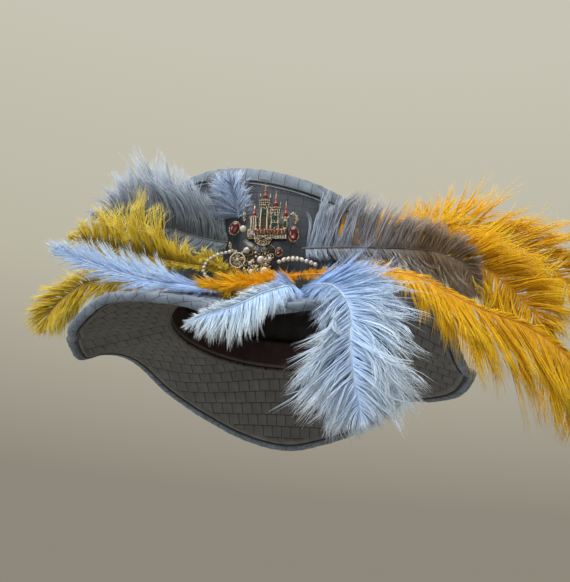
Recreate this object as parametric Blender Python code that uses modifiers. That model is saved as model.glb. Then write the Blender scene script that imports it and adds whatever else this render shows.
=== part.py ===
"""A wide-brimmed dress hat: flared crown, wavy brim, plumes and a jewelled cluster.

Metres, +Z up. The origin is the middle of the head opening, in the plane where crown and brim
meet. The front faces -Y. Angles around the hat are in degrees from the front, positive towards
-X, which is the left side as seen from the front.
"""

import math
from collections import namedtuple

import bmesh
import bpy
import numpy as np
from mathutils import Matrix, Vector

MM = 0.001
GAP = 0.3 * MM

OPENING = (83 * MM, 98 * MM)  # half-axes of the head opening, X and Y
CROWN_BASE = (86 * MM, 101 * MM)  # outer half-axes of the crown at the brim
CROWN_SEAM = (99.5 * MM, 112.6 * MM)  # outer half-axes at the seam of side and tip
SEAM_HEIGHT = 79 * MM
SEAM_LEAN = -0.15  # the seam falls towards +X
CROWN_WALL = 2 * MM
TIP_RISE = 27 * MM
TIP_EDGE = 2.5 * MM  # the tip's upright edge, above the seam
TIP_PADDING = 3 * MM
TIP_REACHES = (1.0, 0.95, 0.8, 0.45)  # rings of the dome, as shares of the way from its middle
SEAM_GAPS = (-0.6 * MM, 0.1 * MM)  # where the side ends and the tip starts, from the seam
PIPING_RADIUS = 0.8 * MM
PIPING_DROP = 0.2 * MM

BRIM_REACH = (165 * MM, 172 * MM)  # half-axes of the brim's outline before its waves
BRIM_THICKNESS = 2.5 * MM
BRIM_SHOULDER = 5 * MM  # the level step between the opening and the slope
BRIM_SHARES = (0.35, 0.7, 1.0)  # rings of the slope, as shares of its length
ROLL_RADIUS = 3.5 * MM
ROLL_GAP = 0.5 * MM
BINDING_RADIUS = 0.8 * MM
BINDING_IN = 4.2 * MM  # the binding's place, from the middle of the edge roll
BINDING_DOWN = 2.5 * MM
BAND_HEIGHT = 26 * MM
BAND_THICKNESS = 1 * MM
BAND_FOOT = 1 * MM
BAND_OUT = 0.6 * MM  # the band's outer face, out from the opening

PLUME_THICKNESS = 1.8 * MM
QUILL_BAND = (0.3, 5 * MM)  # half-width of the backing: a share of the barbs, and its most
AROUND_CROWN = 34
AROUND_BRIM = 52

Wave = namedtuple("Wave", "degrees inset height")
WAVES = (
    Wave(-168, 0, -50),
    Wave(-155, 0, -38),
    Wave(-141, 0, -19),
    Wave(-134, 0, -15),
    Wave(-125, 0, -20),
    Wave(-108, 0, -26),
    Wave(-92, 1, -24),
    Wave(-80, 6, -33),
    Wave(-70, 8, -27),
    Wave(-60, 4, -12),
    Wave(-50, 0, -6),
    Wave(-40, 0, -13),
    Wave(-30, 0, -24),
    Wave(-20, 0, -36),
    Wave(0, 0, -48),
    Wave(13, 0, -40),
    Wave(27, 0, -33),
    Wave(38, 0, -31),
    Wave(51, 0, -41),
    Wave(60, 6, -38),
    Wave(70, 8, -31),
    Wave(84, 1, -22),
    Wave(94, 0, -25),
    Wave(105, 0, -10),
    Wave(115, 0, -1),
    Wave(124, 0, -3),
    Wave(136, 0, -19),
    Wave(148, 0, -33),
    Wave(165, 0, -50),
    Wave(180, 0, -57),
)

# Millimetres: a point of the quill, and how far the barbs reach on its two sides there.
Station = namedtuple("Station", "x y z upper lower")
# side_root and side_tip point to the upper barbs at the two ends of the quill.
Plume = namedtuple("Plume", "name colour locks side_root side_tip stations")
# A lock of barbs at one place of its length: how far out it is, as shares of the barbs' reach,
# how far it is swept along the quill, and how far it has narrowed from each side.
Step = namedtuple("Step", "share sweep narrow")
LOCK_STEPS = (Step(0.5, 0.12, 0.08), Step(0.8, 0.3, 0.33))

SLATE = (0.27, 0.33, 0.43)
SKY = (0.40, 0.58, 0.86)
LEMON = (0.62, 0.47, 0.05)
GOLD = (0.80, 0.42, 0.02)
UPRIGHT = (0, 0, 1)
TO_CROWN = (0, 0.8, 0.6)
LEFT_TO_CROWN = (-0.7, 0.6, 0.4)
TO_RIGHT = (1, 0, 0)
TO_LEFT = (-1, 0, 0)

PLUMES = (
    Plume("slate_left", SLATE, 7, UPRIGHT, UPRIGHT, (
        Station(-20.6, -117, 26.5, 8, 6),
        Station(-34, -117, 28, 44, 16),
        Station(-63, -112, 37, 60, 24),
        Station(-94, -102, 48, 46, 24),
        Station(-128, -92, 57, 14, 12),
    )),
    Plume("slate_right", SLATE, 7, UPRIGHT, UPRIGHT, (
        Station(32.9, -117, 24, 22, 6),
        Station(64, -115, 27, 46, 13),
        Station(103, -102, 34, 36, 24),
        Station(130, -90, 38, 28, 34),
        Station(149, -82, 34, 16, 28),
        Station(158, -78, 18, 8, 12),
    )),
    Plume("sky_upright", SKY, 4, TO_LEFT, TO_LEFT, (
        Station(-19, -119.4, 46, 5, 4),
        Station(-22, -121, 54, 12, 7),
        Station(-28, -122, 64, 15, 11),
        Station(-34, -123, 76, 7, 7),
    )),
    Plume("yellow_left", LEMON, 7, UPRIGHT, UPRIGHT, (
        Station(-13, -119, 4, 2, 2),
        Station(-24, -120.5, 4, 5, 3),
        Station(-46, -121, 6, 18, 7),
        Station(-68, -119, 10, 40, 12),
        Station(-94, -114, 17, 38, 14),
        Station(-121, -108, 26, 25, 14),
        Station(-143, -102, 33, 8, 8),
    )),
    Plume("gold_left", LEMON, 7, UPRIGHT, UPRIGHT, (
        Station(-68.1, -67.1, 15, 2, 2),
        Station(-92, -60, 16, 8, 8),
        Station(-118, -56, 17, 13, 14),
        Station(-143, -52, 17, 20, 26),
        Station(-159, -48, 10, 28, 32),
        Station(-172, -45, -3, 28, 24),
        Station(-178, -43, -15, 12, 10),
    )),
    Plume("yellow_tuft", LEMON, 3, UPRIGHT, UPRIGHT, (
        Station(-17, -123.3, 3, 4, 3),
        Station(-29, -123.3, 9, 9, 7),
        Station(-41, -123.5, 14, 6, 6),
    )),
    Plume("sky_left", SKY, 7, LEFT_TO_CROWN, UPRIGHT, (
        Station(-6, -128, -14.9, 3, 3),
        Station(-26, -146, -22, 7, 4),
        Station(-46, -146, -20, 12, 4),
        Station(-68, -136, -14, 16, 6),
        Station(-106, -120, 1, 17, 13),
        Station(-151, -106, 20, 7, 6),
    )),
    Plume("sky_brow", SKY, 6, TO_LEFT, UPRIGHT, (
        Station(30, -116, -8.3, 3, 3),
        Station(33, -138, -14, 5, 5),
        Station(28, -164, -26, 7, 4),
        Station(19, -182, -38, 8, 20),
        Station(6, -187, -48, 8, 27),
        Station(-7, -190, -55, 7, 22),
        Station(-21, -191, -61, 4, 8),
    )),
    Plume("sky_front", SKY, 8, TO_RIGHT, TO_RIGHT, (
        Station(40, -110, -3, 3, 3),
        Station(48, -128, -8, 10, 8),
        Station(58, -145, -15, 24, 16),
        Station(68, -163, -29, 36, 24),
        Station(75, -179, -48, 46, 34),
        Station(76, -185, -68, 50, 44),
        Station(79, -187, -88, 34, 36),
        Station(83, -186, -106, 17, 20),
        Station(85, -185, -116, 6, 6),
    )),
    Plume("orange_front", GOLD, 5, LEFT_TO_CROWN, TO_CROWN, (
        Station(28, -120.1, 1.6, 4, 4),
        Station(17, -130, -5, 10, 9),
        Station(-1, -138, -11, 14, 12),
        Station(-26, -142, -14, 9, 7),
    )),
    Plume("orange_side", GOLD, 4, UPRIGHT, UPRIGHT, (
        Station(31, -118.9, 2.6, 2, 3),
        Station(60, -120.5, 4, 8, 5),
        Station(86, -119, 7, 10, 6),
        Station(106, -117, 5, 5, 4),
    )),
    Plume("gold_upper", GOLD, 7, UPRIGHT, UPRIGHT, (
        Station(48.5, -95.2, 40, 2, 2),
        Station(72, -88, 49, 24, 10),
        Station(102, -82, 50, 38, 16),
        Station(136, -75, 48, 44, 22),
        Station(167, -70, 35, 46, 30),
        Station(192, -66, 15, 42, 34),
        Station(211, -64, -7, 18, 18),
    )),
    Plume("gold_back", GOLD, 7, UPRIGHT, UPRIGHT, (
        Station(85.1, -57.4, 53, 2, 2),
        Station(102, -58, 65, 14, 10),
        Station(142, -48, 82, 34, 26),
        Station(185, -40, 75, 40, 34),
        Station(220, -36, 54, 36, 34),
        Station(246, -34, 23, 16, 18),
    )),
    Plume("gold_front", GOLD, 8, TO_CROWN, UPRIGHT, (
        Station(52, -124.6, 0, 3, 3),
        Station(70, -131, -1, 8, 8),
        Station(92, -139, -1, 9, 14),
        Station(114, -145, -6, 9, 34),
        Station(135, -144, -16, 9, 50),
        Station(156, -141, -25, 9, 56),
        Station(191, -128, -33, 10, 58),
        Station(217, -121, -51, 9, 46),
        Station(234, -117, -76, 6, 16),
    )),
)

JEWEL_BACK = -118  # millimetres: the plane the cluster's settings lie on
PAD_FRONT = -117.5 * MM
PAD_BOX = (-20 * MM, 32 * MM, 1.5 * MM, 62 * MM)  # left, right, bottom, top
PAD_GRID = (6, 4)
CASTLE_FOOT = (8.1, 28.5)  # millimetres: middle of the castle's wall at its base, X and Z
CASTLE_LEAN = -2.5
METAL = (0.42, 0.31, 0.16)
GARNET = (0.30, 0.02, 0.02)
PEARL = (0.86, 0.83, 0.76)
STEEL_BLUE = (0.10, 0.15, 0.22)

# Millimetres from the castle's foot: a tower's middle, half-width, wall top and roof height.
Tower = namedtuple("Tower", "across half top roof")
TOWERS = (
    Tower(-10.8, 2.7, 18.4, 10.5),
    Tower(-3.4, 3.5, 32.2, 14.5),
    Tower(4.6, 3.5, 26, 13.5),
    Tower(12.3, 1.9, 17.4, 15.5),
)
# Millimetres: a block's size, and its height above the castle's foot.
Block = namedtuple("Block", "width depth height level")
WALL = Block(28, 3.0, 12, 0)
GALLERY = Block(25, 4.3, 2.6, 4)
TOWER_DEPTH = 3.7
TOWER_LEVEL = 1
EAVES = Block(1.2, 0.4, 1.2, -1.2)  # added to the tower's width and depth, under its wall top
ROOF_RADII = (1.9, 0.35)
ROOF_SUNK = 0.2
ROOF_AXIS = -1.6  # how far the roofs' middles stand out from the jewel plane
TOWER_STONE = (0.8, 2.4, 1.1)  # its half-width less than the tower's, half-height and depth
TOWER_STONE_DROP = 5
STONE_SUNK = 0.2
# Millimetres: a cut stone's middle across and up, its half-width, half-height and depth.
Stone = namedtuple("Stone", "x z half_width half_height depth")
FAN = Stone(-2.9, 1.6, 6.1, 5.6, 2.6)
PLATE = Stone(1.5, 13, 13.5, 10.5, 1.2)
FLOWER = Stone(-11, 11, 4.6, 4.6, 2.6)
PETALS = 5
PETAL_RADIUS = 1.3
PETAL_REACH = 3.4
PETAL_DEPTH = -120.2
Bead = namedtuple("Bead", "x z radius")
SMALL_BEADS = (Bead(-2.4, 9.6, 1.6), Bead(2.2, 7.2, 1.4), Bead(11.2, 13.4, 1.7), Bead(8.6, 9, 1.5))
SMALL_BEAD_DEPTH = -119.3

# Millimetres: a stone or pearl's middle across and up, its middle's depth and its radius.
Pearl = namedtuple("Pearl", "name x depth z radius")
PEARLS = (
    Pearl("pearl_upper_left", -10.3, -121, 36, 2.6),
    Pearl("pearl_left", -5.9, -121.6, 18.6, 2.4),
    Pearl("pearl_middle", 5.3, -122.3, 11.5, 2.8),
    Pearl("pearl_low_right", 8.7, -121.5, 2.9, 3.3),
    Pearl("pearl_low_left", -1.0, -120.5, 2.6, 2.1),
)
Garnet = namedtuple("Garnet", "name x z half_width half_height lean")
GARNETS = (
    Garnet("garnet_left", -16.9, 37, 3.9, 5.6, 12),
    Garnet("garnet_right", 26.4, 34, 4.0, 6.2, -8),
    Garnet("garnet_drop", 17.2, 19.4, 2.5, 3.4, 0),
)
# Shares of a garnet's bezel that its stone takes, across and up; millimetres of their depths.
GARNET_SHARES = (0.72, 0.76)
BEZEL_DEPTH = 2.4
GARNET_OUT = 1.9
GARNET_DEPTH = 1.8
# Millimetres across and up: the leaf stones under the castle.
Leaf = namedtuple("Leaf", "x z lean")
LEAF_STONE = (1.7, 3.3, 2.2)
LEAF_OUT = 0.6
LEAVES = (
    Leaf(-1.6, 22.3, 50),
    Leaf(4.6, 20.4, 20),
    Leaf(9.2, 20.6, -20),
    Leaf(12.2, 21.0, -50),
)
BEAD_SIDES = 10
# Along the strand and out from it, as shares of the bead's radius.
BEAD_RINGS = ((-0.94, 0.34), (-0.45, 0.9), (0.45, 0.9))
Strand = namedtuple("Strand", "name bead depth points")
STRANDS = (
    Strand("pearl_strand_left", 2.8, -126.2, ((-17, 15), (-25.5, 12), (-32, 7), (-34, -1), (-27.5, -9))),
    Strand("pearl_strand_right", 3.3, -122, ((18.5, 10.6), (23.6, 12.6), (33, 13), (41, 10.9), (45, 9.4))),
    Strand("pearl_strand_back", 3.0, -119.3, ((21.8, 14), (28.3, 15.4), (35, 14.2))),
)
# Millimetres: slim stone-set bars on the jewel plane, with the points that they follow.
Curve = namedtuple("Curve", "name radius points")
GOLD_CURVES = (
    Curve("rhinestone_curve", 1.3, ((-19, 25), (-17.5, 19.5), (-13, 18))),
    Curve("scroll", 1.2, ((23.2, 49.4), (25.6, 50.6), (27.8, 47), (27.2, 42.4))),
)
BLUE_CURVE = Curve("baguette_bar", 1.2, ((-10.9, 56), (-10.4, 43.5)))
CURVE_STEPS = 7
STRAND_STEPS = 400


def clear_scene():
    for obj in list(bpy.data.objects):
        bpy.data.objects.remove(obj, do_unlink=True)


def make_collection(name, rendered=True):
    collection = bpy.data.collections.new(name)
    collection.hide_render = not rendered
    bpy.context.scene.collection.children.link(collection)
    return collection


def make_material(name, colour, roughness, metallic=0.0):
    material = bpy.data.materials.new(name)
    material.use_nodes = True
    shader = material.node_tree.nodes["Principled BSDF"]
    shader.inputs["Base Color"].default_value = (*colour, 1)
    shader.inputs["Roughness"].default_value = roughness
    shader.inputs["Metallic"].default_value = metallic
    return material


def add_object(name, data, collection, material):
    """Links the mesh or curve as one object with its own material."""
    obj = bpy.data.objects.new(name, data)
    collection.objects.link(obj)
    data.materials.append(material)
    return obj


def loft_form(rows):
    """Closed rings of points joined by quads, and the rings' corners."""
    form = bmesh.new()
    rings = [[form.verts.new(point) for point in row] for row in rows]
    for near, far in zip(rings, rings[1:]):
        for i in range(len(near)):
            j = (i + 1) % len(near)
            form.faces.new((near[i], near[j], far[j], far[i]))
    return form, rings


def add_wall(name, form, collection, material, thickness, offset):
    """A thickened surface: offset -1 grows it inwards, 0 to both sides. It frees the form."""
    mesh = bpy.data.meshes.new(name)
    form.to_mesh(mesh)
    form.free()
    mesh.shade_smooth()
    obj = add_object(name, mesh, collection, material)
    solidify = obj.modifiers.new("Solidify", "SOLIDIFY")
    solidify.thickness = thickness
    solidify.offset = offset


def add_tube(name, points, radius, collection, material, closed, resolution):
    curve = bpy.data.curves.new(name, "CURVE")
    curve.dimensions = "3D"
    curve.bevel_depth = radius
    curve.bevel_resolution = resolution
    curve.use_fill_caps = not closed
    spline = curve.splines.new("POLY")
    spline.points.add(len(points) - 1)
    for slot, point in zip(spline.points, points):
        slot.co = (*point, 1)
    spline.use_cyclic_u = closed
    return add_object(name, curve, collection, material)


def catmull(points, at):
    """The point of a smooth curve through these points, with at from 0 to the last index."""
    last = len(points) - 1
    index = min(int(at), last - 1)
    t = at - index
    here = np.array(points[index], float)
    following = np.array(points[index + 1], float)
    before = np.array(points[index - 1], float) if index else 2 * here - following
    after = np.array(points[index + 2], float) if index + 2 <= last else 2 * following - here
    return 0.5 * (
        2 * here
        + (following - before) * t
        + (2 * before - 5 * here + 4 * following - after) * t**2
        + (3 * here - before - 3 * following + after) * t**3
    )


def wave_at(degrees):
    """The brim's inset and height, in metres, at this angle."""
    turned = [(w.degrees + 360 * turn, w.inset, w.height) for turn in (-1, 0, 1) for w in WAVES]
    index = max(i for i, row in enumerate(turned) if row[0] <= degrees)
    span = turned[index + 1][0] - turned[index][0]
    t = (degrees - turned[index][0]) / span
    row = catmull(turned[index - 1 : index + 3], 1 + t)
    return row[1] * MM, row[2] * MM


def on_ellipse(axes, degrees, height, outwards=0.0):
    angle = math.radians(degrees)
    return Vector((
        -(axes[0] + outwards) * math.sin(angle),
        -(axes[1] + outwards) * math.cos(angle),
        height,
    ))


def turns(count):
    return [360 * i / count - 180 for i in range(count)]


def seam_at(degrees, rise=0.0, outwards=0.0):
    """A point of the seam between the crown's side and its tip."""
    x = -CROWN_SEAM[0] * math.sin(math.radians(degrees))
    return on_ellipse(CROWN_SEAM, degrees, SEAM_HEIGHT + SEAM_LEAN * x + rise, outwards)


def add_crown_side(collection):
    foot = [on_ellipse(CROWN_BASE, d, GAP) for d in turns(AROUND_CROWN)]
    top = [seam_at(d, SEAM_GAPS[0]) for d in turns(AROUND_CROWN)]
    middle = [a.lerp(b, 0.5) for a, b in zip(foot, top)]
    cloth = make_material("crown_cloth", (0.33, 0.38, 0.45), 0.85)
    form, _ = loft_form((top, middle, foot))
    add_wall("crown_side", form, collection, cloth, CROWN_WALL, -1)


def add_crown_tip(collection):
    """The padded top: a short upright edge, then a dome that flattens towards the middle."""
    around = turns(AROUND_CROWN)[::-1]
    rows = [[seam_at(d, SEAM_GAPS[1]) for d in around]]
    for reach in TIP_REACHES:
        rise = TIP_EDGE + (TIP_RISE - TIP_EDGE) * math.sqrt(1 - reach**4)
        row = []
        for degrees in around:
            edge = seam_at(degrees)
            x = edge.x * reach
            row.append((x, edge.y * reach, SEAM_HEIGHT + SEAM_LEAN * x + rise))
        rows.append(row)
    form, rings = loft_form(rows)
    summit = form.verts.new((0, 0, SEAM_HEIGHT + TIP_RISE))
    for i in range(AROUND_CROWN):
        form.faces.new((rings[-1][i], rings[-1][(i + 1) % AROUND_CROWN], summit))
    cloth = make_material("tip_cloth", (0.42, 0.49, 0.60), 0.85)
    add_wall("crown_tip", form, collection, cloth, TIP_PADDING, -1)


def add_tip_piping(collection):
    off = PIPING_RADIUS + GAP
    points = [seam_at(d, -PIPING_DROP, off) for d in turns(AROUND_CROWN)]
    black = make_material("piping_black", (0.02, 0.02, 0.025), 0.6)
    add_tube("tip_piping", points, PIPING_RADIUS, collection, black, True, 0)


def rim_at(degrees):
    inset, height = wave_at(degrees)
    return on_ellipse(BRIM_REACH, degrees, height, -inset)


def brim_rows():
    """Rings from the head opening out to the edge roll."""
    rows = []
    level = -BRIM_THICKNESS / 2
    rows.append([on_ellipse(OPENING, d, level) for d in turns(AROUND_BRIM)])
    shoulder = [on_ellipse(OPENING, d, level, BRIM_SHOULDER) for d in turns(AROUND_BRIM)]
    rows.append(shoulder)
    for share in BRIM_SHARES:
        row = []
        for degrees, start in zip(turns(AROUND_BRIM), shoulder):
            rim = rim_at(degrees)
            reach = (rim - start).length - ROLL_RADIUS - ROLL_GAP
            row.append(start + (rim - start).normalized() * reach * share)
        rows.append(row)
    return rows


def add_brim(collection):
    cloth = make_material("brim_cloth", (0.30, 0.35, 0.42), 0.85)
    rows = brim_rows()
    form, _ = loft_form(rows)
    add_wall("brim", form, collection, cloth, BRIM_THICKNESS, 0)
    roll = [rim_at(d) for d in turns(AROUND_BRIM)]
    add_tube("brim_roll", roll, ROLL_RADIUS, collection, cloth, True, 1)
    binding = []
    for rim, inner in zip(roll, rows[-1]):
        along = (inner - rim).normalized()
        around = Vector((-rim.y, rim.x, 0)).normalized()
        down = along.cross(around).normalized()
        if down.z > 0:
            down.negate()
        binding.append(rim + along * BINDING_IN + down * BINDING_DOWN)
    black = make_material("binding_black", (0.02, 0.02, 0.025), 0.6)
    add_tube("brim_binding", binding, BINDING_RADIUS, collection, black, True, 0)


def add_sweatband(collection):
    foot = [on_ellipse(OPENING, d, BAND_FOOT, BAND_OUT) for d in turns(AROUND_CROWN)]
    top = [on_ellipse(OPENING, d, BAND_FOOT + BAND_HEIGHT, BAND_OUT) for d in turns(AROUND_CROWN)]
    leather = make_material("sweatband_brown", (0.05, 0.03, 0.035), 0.5)
    form, _ = loft_form((top, foot))
    add_wall("sweatband", form, collection, leather, BAND_THICKNESS, -1)


def quill_frames(plume, count):
    """Points along the quill, with the directions along it and to the upper barbs."""
    middle = [(s.x, s.y, s.z) for s in plume.stations]
    reach = [(s.upper, s.lower) for s in plume.stations]
    last = len(middle) - 1
    frames = []
    for i in range(count + 1):
        at = last * i / count
        here = catmull(middle, at)
        step = catmull(middle, min(at + 0.05, last)) - catmull(middle, max(at - 0.05, 0))
        along = Vector(step).normalized()
        side = Vector(plume.side_root).lerp(Vector(plume.side_tip), i / count)
        side = (side - side.dot(along) * along).normalized()
        frames.append((Vector(here) * MM, along, side, catmull(reach, at) * MM))
    return frames


def add_plume(plume, collection):
    """One open sheet of backing band and tapered locks along the quill, thickened."""
    frames = quill_frames(plume, plume.locks)
    form = bmesh.new()
    quill = [form.verts.new(point) for point, _, _, _ in frames]
    for way, reach_column in ((1, 0), (-1, 1)):
        band = []
        for point, _, side, reach in frames:
            width = min(QUILL_BAND[0] * reach[reach_column], QUILL_BAND[1])
            band.append(form.verts.new(point + way * side * width))
        for i in range(plume.locks):
            faces = [(quill[i], quill[i + 1], band[i + 1], band[i])]
            faces += lock_faces(form, frames, band, i, way, reach_column)
            for corners in faces:
                form.faces.new(corners if way > 0 else tuple(reversed(corners)))
    down = make_material(plume.name + "_down", plume.colour, 0.9)
    add_wall(plume.name, form, collection, down, PLUME_THICKNESS, 0)


def lock_faces(form, frames, band, i, way, reach_column):
    """A lock of barbs: two faces that narrow and sweep towards the quill's tip."""
    left, right = band[i].co, band[i + 1].co
    along = (frames[i][1] + frames[i + 1][1]).normalized()
    side = (frames[i][2] + frames[i + 1][2]).normalized() * way
    reach = (frames[i][3][reach_column] + frames[i + 1][3][reach_column]) / 2
    outer = []
    for step in LOCK_STEPS:
        shift = side * reach * step.share + along * reach * step.sweep
        outer.append((
            form.verts.new(left.lerp(right, step.narrow) + shift),
            form.verts.new(left.lerp(right, 1 - step.narrow) + shift),
        ))
    (near_left, near_right), (far_left, far_right) = outer
    return [
        (band[i], band[i + 1], near_right, near_left),
        (near_left, near_right, far_right, far_left),
    ]


def crown_front(x, z):
    """Y of the crown's outer surface at the front, at this place."""
    share = z / (SEAM_HEIGHT + SEAM_LEAN * x)
    half_x = CROWN_BASE[0] + (CROWN_SEAM[0] - CROWN_BASE[0]) * share
    half_y = CROWN_BASE[1] + (CROWN_SEAM[1] - CROWN_BASE[1]) * share
    return -half_y * math.sqrt(1 - (x / half_x) ** 2)


def add_plume_patch(collection):
    """The padded patch that the quills and the settings are sewn to: flat in front, fitted to
    the crown behind."""
    left, right, bottom, top = PAD_BOX
    form = bmesh.new()
    bmesh.ops.create_grid(form, x_segments=PAD_GRID[0], y_segments=PAD_GRID[1], size=0.5)
    for vert in form.verts:
        x = left + (right - left) * (vert.co.x + 0.5)
        z = bottom + (top - bottom) * (vert.co.y + 0.5)
        vert.co = (x, PAD_FRONT, z)
    front = list(form.faces)
    back = bmesh.ops.extrude_face_region(form, geom=front)
    for vert in (item for item in back["geom"] if isinstance(item, bmesh.types.BMVert)):
        vert.co.y = crown_front(vert.co.x, vert.co.z) - 2 * GAP
    bmesh.ops.recalc_face_normals(form, faces=form.faces)
    mesh = bpy.data.meshes.new("plume_patch")
    form.to_mesh(mesh)
    form.free()
    felt = make_material("patch_felt", (0.16, 0.18, 0.22), 0.95)
    add_object("plume_patch", mesh, collection, felt)


def mesh_piece(name, build, place):
    """A temporary object from a function that fills a bmesh, set in place by a matrix."""
    form = bmesh.new()
    build(form)
    bmesh.ops.transform(form, matrix=place, verts=form.verts)
    bmesh.ops.recalc_face_normals(form, faces=form.faces)
    mesh = bpy.data.meshes.new(name)
    form.to_mesh(mesh)
    form.free()
    return bpy.data.objects.new(name, mesh)


def fuse(name, pieces, collection, cutters, material):
    """One object from overlapping pieces, joined by a union."""
    parts = bpy.data.collections.new(name + "_parts")
    cutters.children.link(parts)
    for piece in pieces[1:]:
        parts.objects.link(piece)
        piece.hide_render = True
        piece.display_type = "WIRE"
    whole = pieces[0]
    collection.objects.link(whole)
    union = whole.modifiers.new("Union", "BOOLEAN")
    union.operation = "UNION"
    union.operand_type = "COLLECTION"
    union.collection = parts
    union.solver = "EXACT"
    whole.name = name
    whole.data.materials.append(material)
    return whole


def box_form(width, depth, height):
    """A box in millimetres on its base, its back on the plane Y = 0, its front towards -Y."""

    def build(form):
        bmesh.ops.create_cube(form, size=MM)
        for vert in form.verts:
            x, y, z = vert.co
            vert.co = (x * width, (y - 0.5 * MM) * depth, (z + 0.5 * MM) * height)

    return build


def roof_form(low, high, height, sides=6):
    """A roof in millimetres, standing on its base."""

    def build(form):
        bmesh.ops.create_cone(
            form, cap_ends=True, segments=sides, radius1=low * MM, radius2=high * MM, depth=height * MM
        )
        bmesh.ops.translate(form, verts=form.verts, vec=(0, 0, height * MM / 2))

    return build


def ball_form(radius, sides=10, rings=6):
    def build(form):
        bmesh.ops.create_uvsphere(form, u_segments=sides, v_segments=rings, radius=radius * MM)

    return build


def stone_form(half_width, half_height, depth, sides=8):
    """A cut stone in millimetres, facing -Y: a girdle, sloping facets and a flat table."""

    def build(form):
        bmesh.ops.create_cone(
            form, cap_ends=True, segments=sides, radius1=MM, radius2=0.55 * MM, depth=MM
        )
        bmesh.ops.translate(form, verts=form.verts, vec=(0, 0, MM / 2))
        bmesh.ops.transform(form, matrix=Matrix.Rotation(math.radians(90), 4, "X"), verts=form.verts)
        for vert in form.verts:
            vert.co = (vert.co.x * half_width, vert.co.y * depth, vert.co.z * half_height)

    return build


def moved(x, y, z, degrees=0.0):
    """A place given in millimetres, with a lean about the Y axis."""
    place = Matrix.Translation((x * MM, y * MM, z * MM))
    return place @ Matrix.Rotation(math.radians(degrees), 4, "Y")


def castle_pieces():
    """Towers with pointed roofs on a walled gallery, with stones in every bay."""
    foot = moved(CASTLE_FOOT[0], JEWEL_BACK, CASTLE_FOOT[1], CASTLE_LEAN)
    pieces = []
    for block in (WALL, GALLERY):
        form = box_form(block.width, block.depth, block.height)
        pieces.append(mesh_piece("wall", form, foot @ moved(0, 0, block.level)))
    for tower in TOWERS:
        pieces += tower_pieces(tower, foot)
    fan = stone_form(FAN.half_width, FAN.half_height, FAN.depth, 12)
    pieces.append(mesh_piece("fan", fan, foot @ moved(FAN.x, 0, FAN.z)))
    return pieces


def tower_pieces(tower, foot):
    width = 2 * tower.half
    body = box_form(width, TOWER_DEPTH, tower.top - TOWER_LEVEL)
    eaves = box_form(width + EAVES.width, TOWER_DEPTH + EAVES.depth, EAVES.height)
    roof = roof_form(min(tower.half, ROOF_RADII[0]), ROOF_RADII[1], tower.roof)
    narrower, half_height, depth = TOWER_STONE
    stone = stone_form(tower.half - narrower, half_height, depth)
    stone_at = moved(tower.across, STONE_SUNK - TOWER_DEPTH, tower.top - TOWER_STONE_DROP)
    return [
        mesh_piece("tower", body, foot @ moved(tower.across, 0, TOWER_LEVEL)),
        mesh_piece("eaves", eaves, foot @ moved(tower.across, 0, tower.top + EAVES.level)),
        mesh_piece("roof", roof, foot @ moved(tower.across, ROOF_AXIS, tower.top - ROOF_SUNK)),
        mesh_piece("stone", stone, foot @ stone_at),
    ]


def garnet_pieces(garnet):
    """A bezel on a short collet, with an oval cut stone in it."""
    place = moved(garnet.x, JEWEL_BACK, garnet.z, garnet.lean)
    bezel = stone_form(garnet.half_width, garnet.half_height, BEZEL_DEPTH, 12)
    wide, high = garnet.half_width * GARNET_SHARES[0], garnet.half_height * GARNET_SHARES[1]
    stone = stone_form(wide, high, GARNET_DEPTH, 10)
    return [
        mesh_piece("bezel", bezel, place),
        mesh_piece("stone", stone, place @ moved(0, -GARNET_OUT, 0)),
    ]


def cluster_pieces():
    """The filigree plate under the castle with its flower, leaf stones and small pearls."""
    pieces = []
    for stone, sides in ((PLATE, 14), (FLOWER, 10)):
        form = stone_form(stone.half_width, stone.half_height, stone.depth, sides)
        pieces.append(mesh_piece("plate", form, moved(stone.x, JEWEL_BACK, stone.z)))
    for leaf in LEAVES:
        place = moved(leaf.x, JEWEL_BACK - LEAF_OUT, leaf.z, leaf.lean)
        pieces.append(mesh_piece("leaf", stone_form(*LEAF_STONE), place))
    for i in range(PETALS):
        turn = math.radians(360 / PETALS * i + 20)
        x = FLOWER.x + PETAL_REACH * math.cos(turn)
        z = FLOWER.z + PETAL_REACH * math.sin(turn)
        pieces.append(mesh_piece("petal", ball_form(PETAL_RADIUS, 8, 4), moved(x, PETAL_DEPTH, z)))
    for bead in SMALL_BEADS:
        place = moved(bead.x, SMALL_BEAD_DEPTH, bead.z)
        pieces.append(mesh_piece("bead", ball_form(bead.radius, 8, 4), place))
    return pieces


def curve_setting(curve, collection, material):
    """A slim stone-set bar along a smooth line on the jewel plane."""
    last = len(curve.points) - 1
    path = [catmull(curve.points, last * i / CURVE_STEPS) for i in range(CURVE_STEPS + 1)]
    lifted = [(x * MM, (JEWEL_BACK - curve.radius) * MM, z * MM) for x, z in path]
    add_tube(curve.name, lifted, curve.radius * MM, collection, material, False, 1)


def strand_middles(strand):
    """Bead middles, a bead's width apart along a smooth line."""
    last = len(strand.points) - 1
    fine = [catmull(strand.points, last * i / STRAND_STEPS) for i in range(STRAND_STEPS + 1)]
    places = [fine[0]]
    for point in fine[1:]:
        if math.dist(point, places[-1]) >= strand.bead:
            places.append(point)
    return [Vector((x, strand.depth, z)) * MM for x, z in places]


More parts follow.
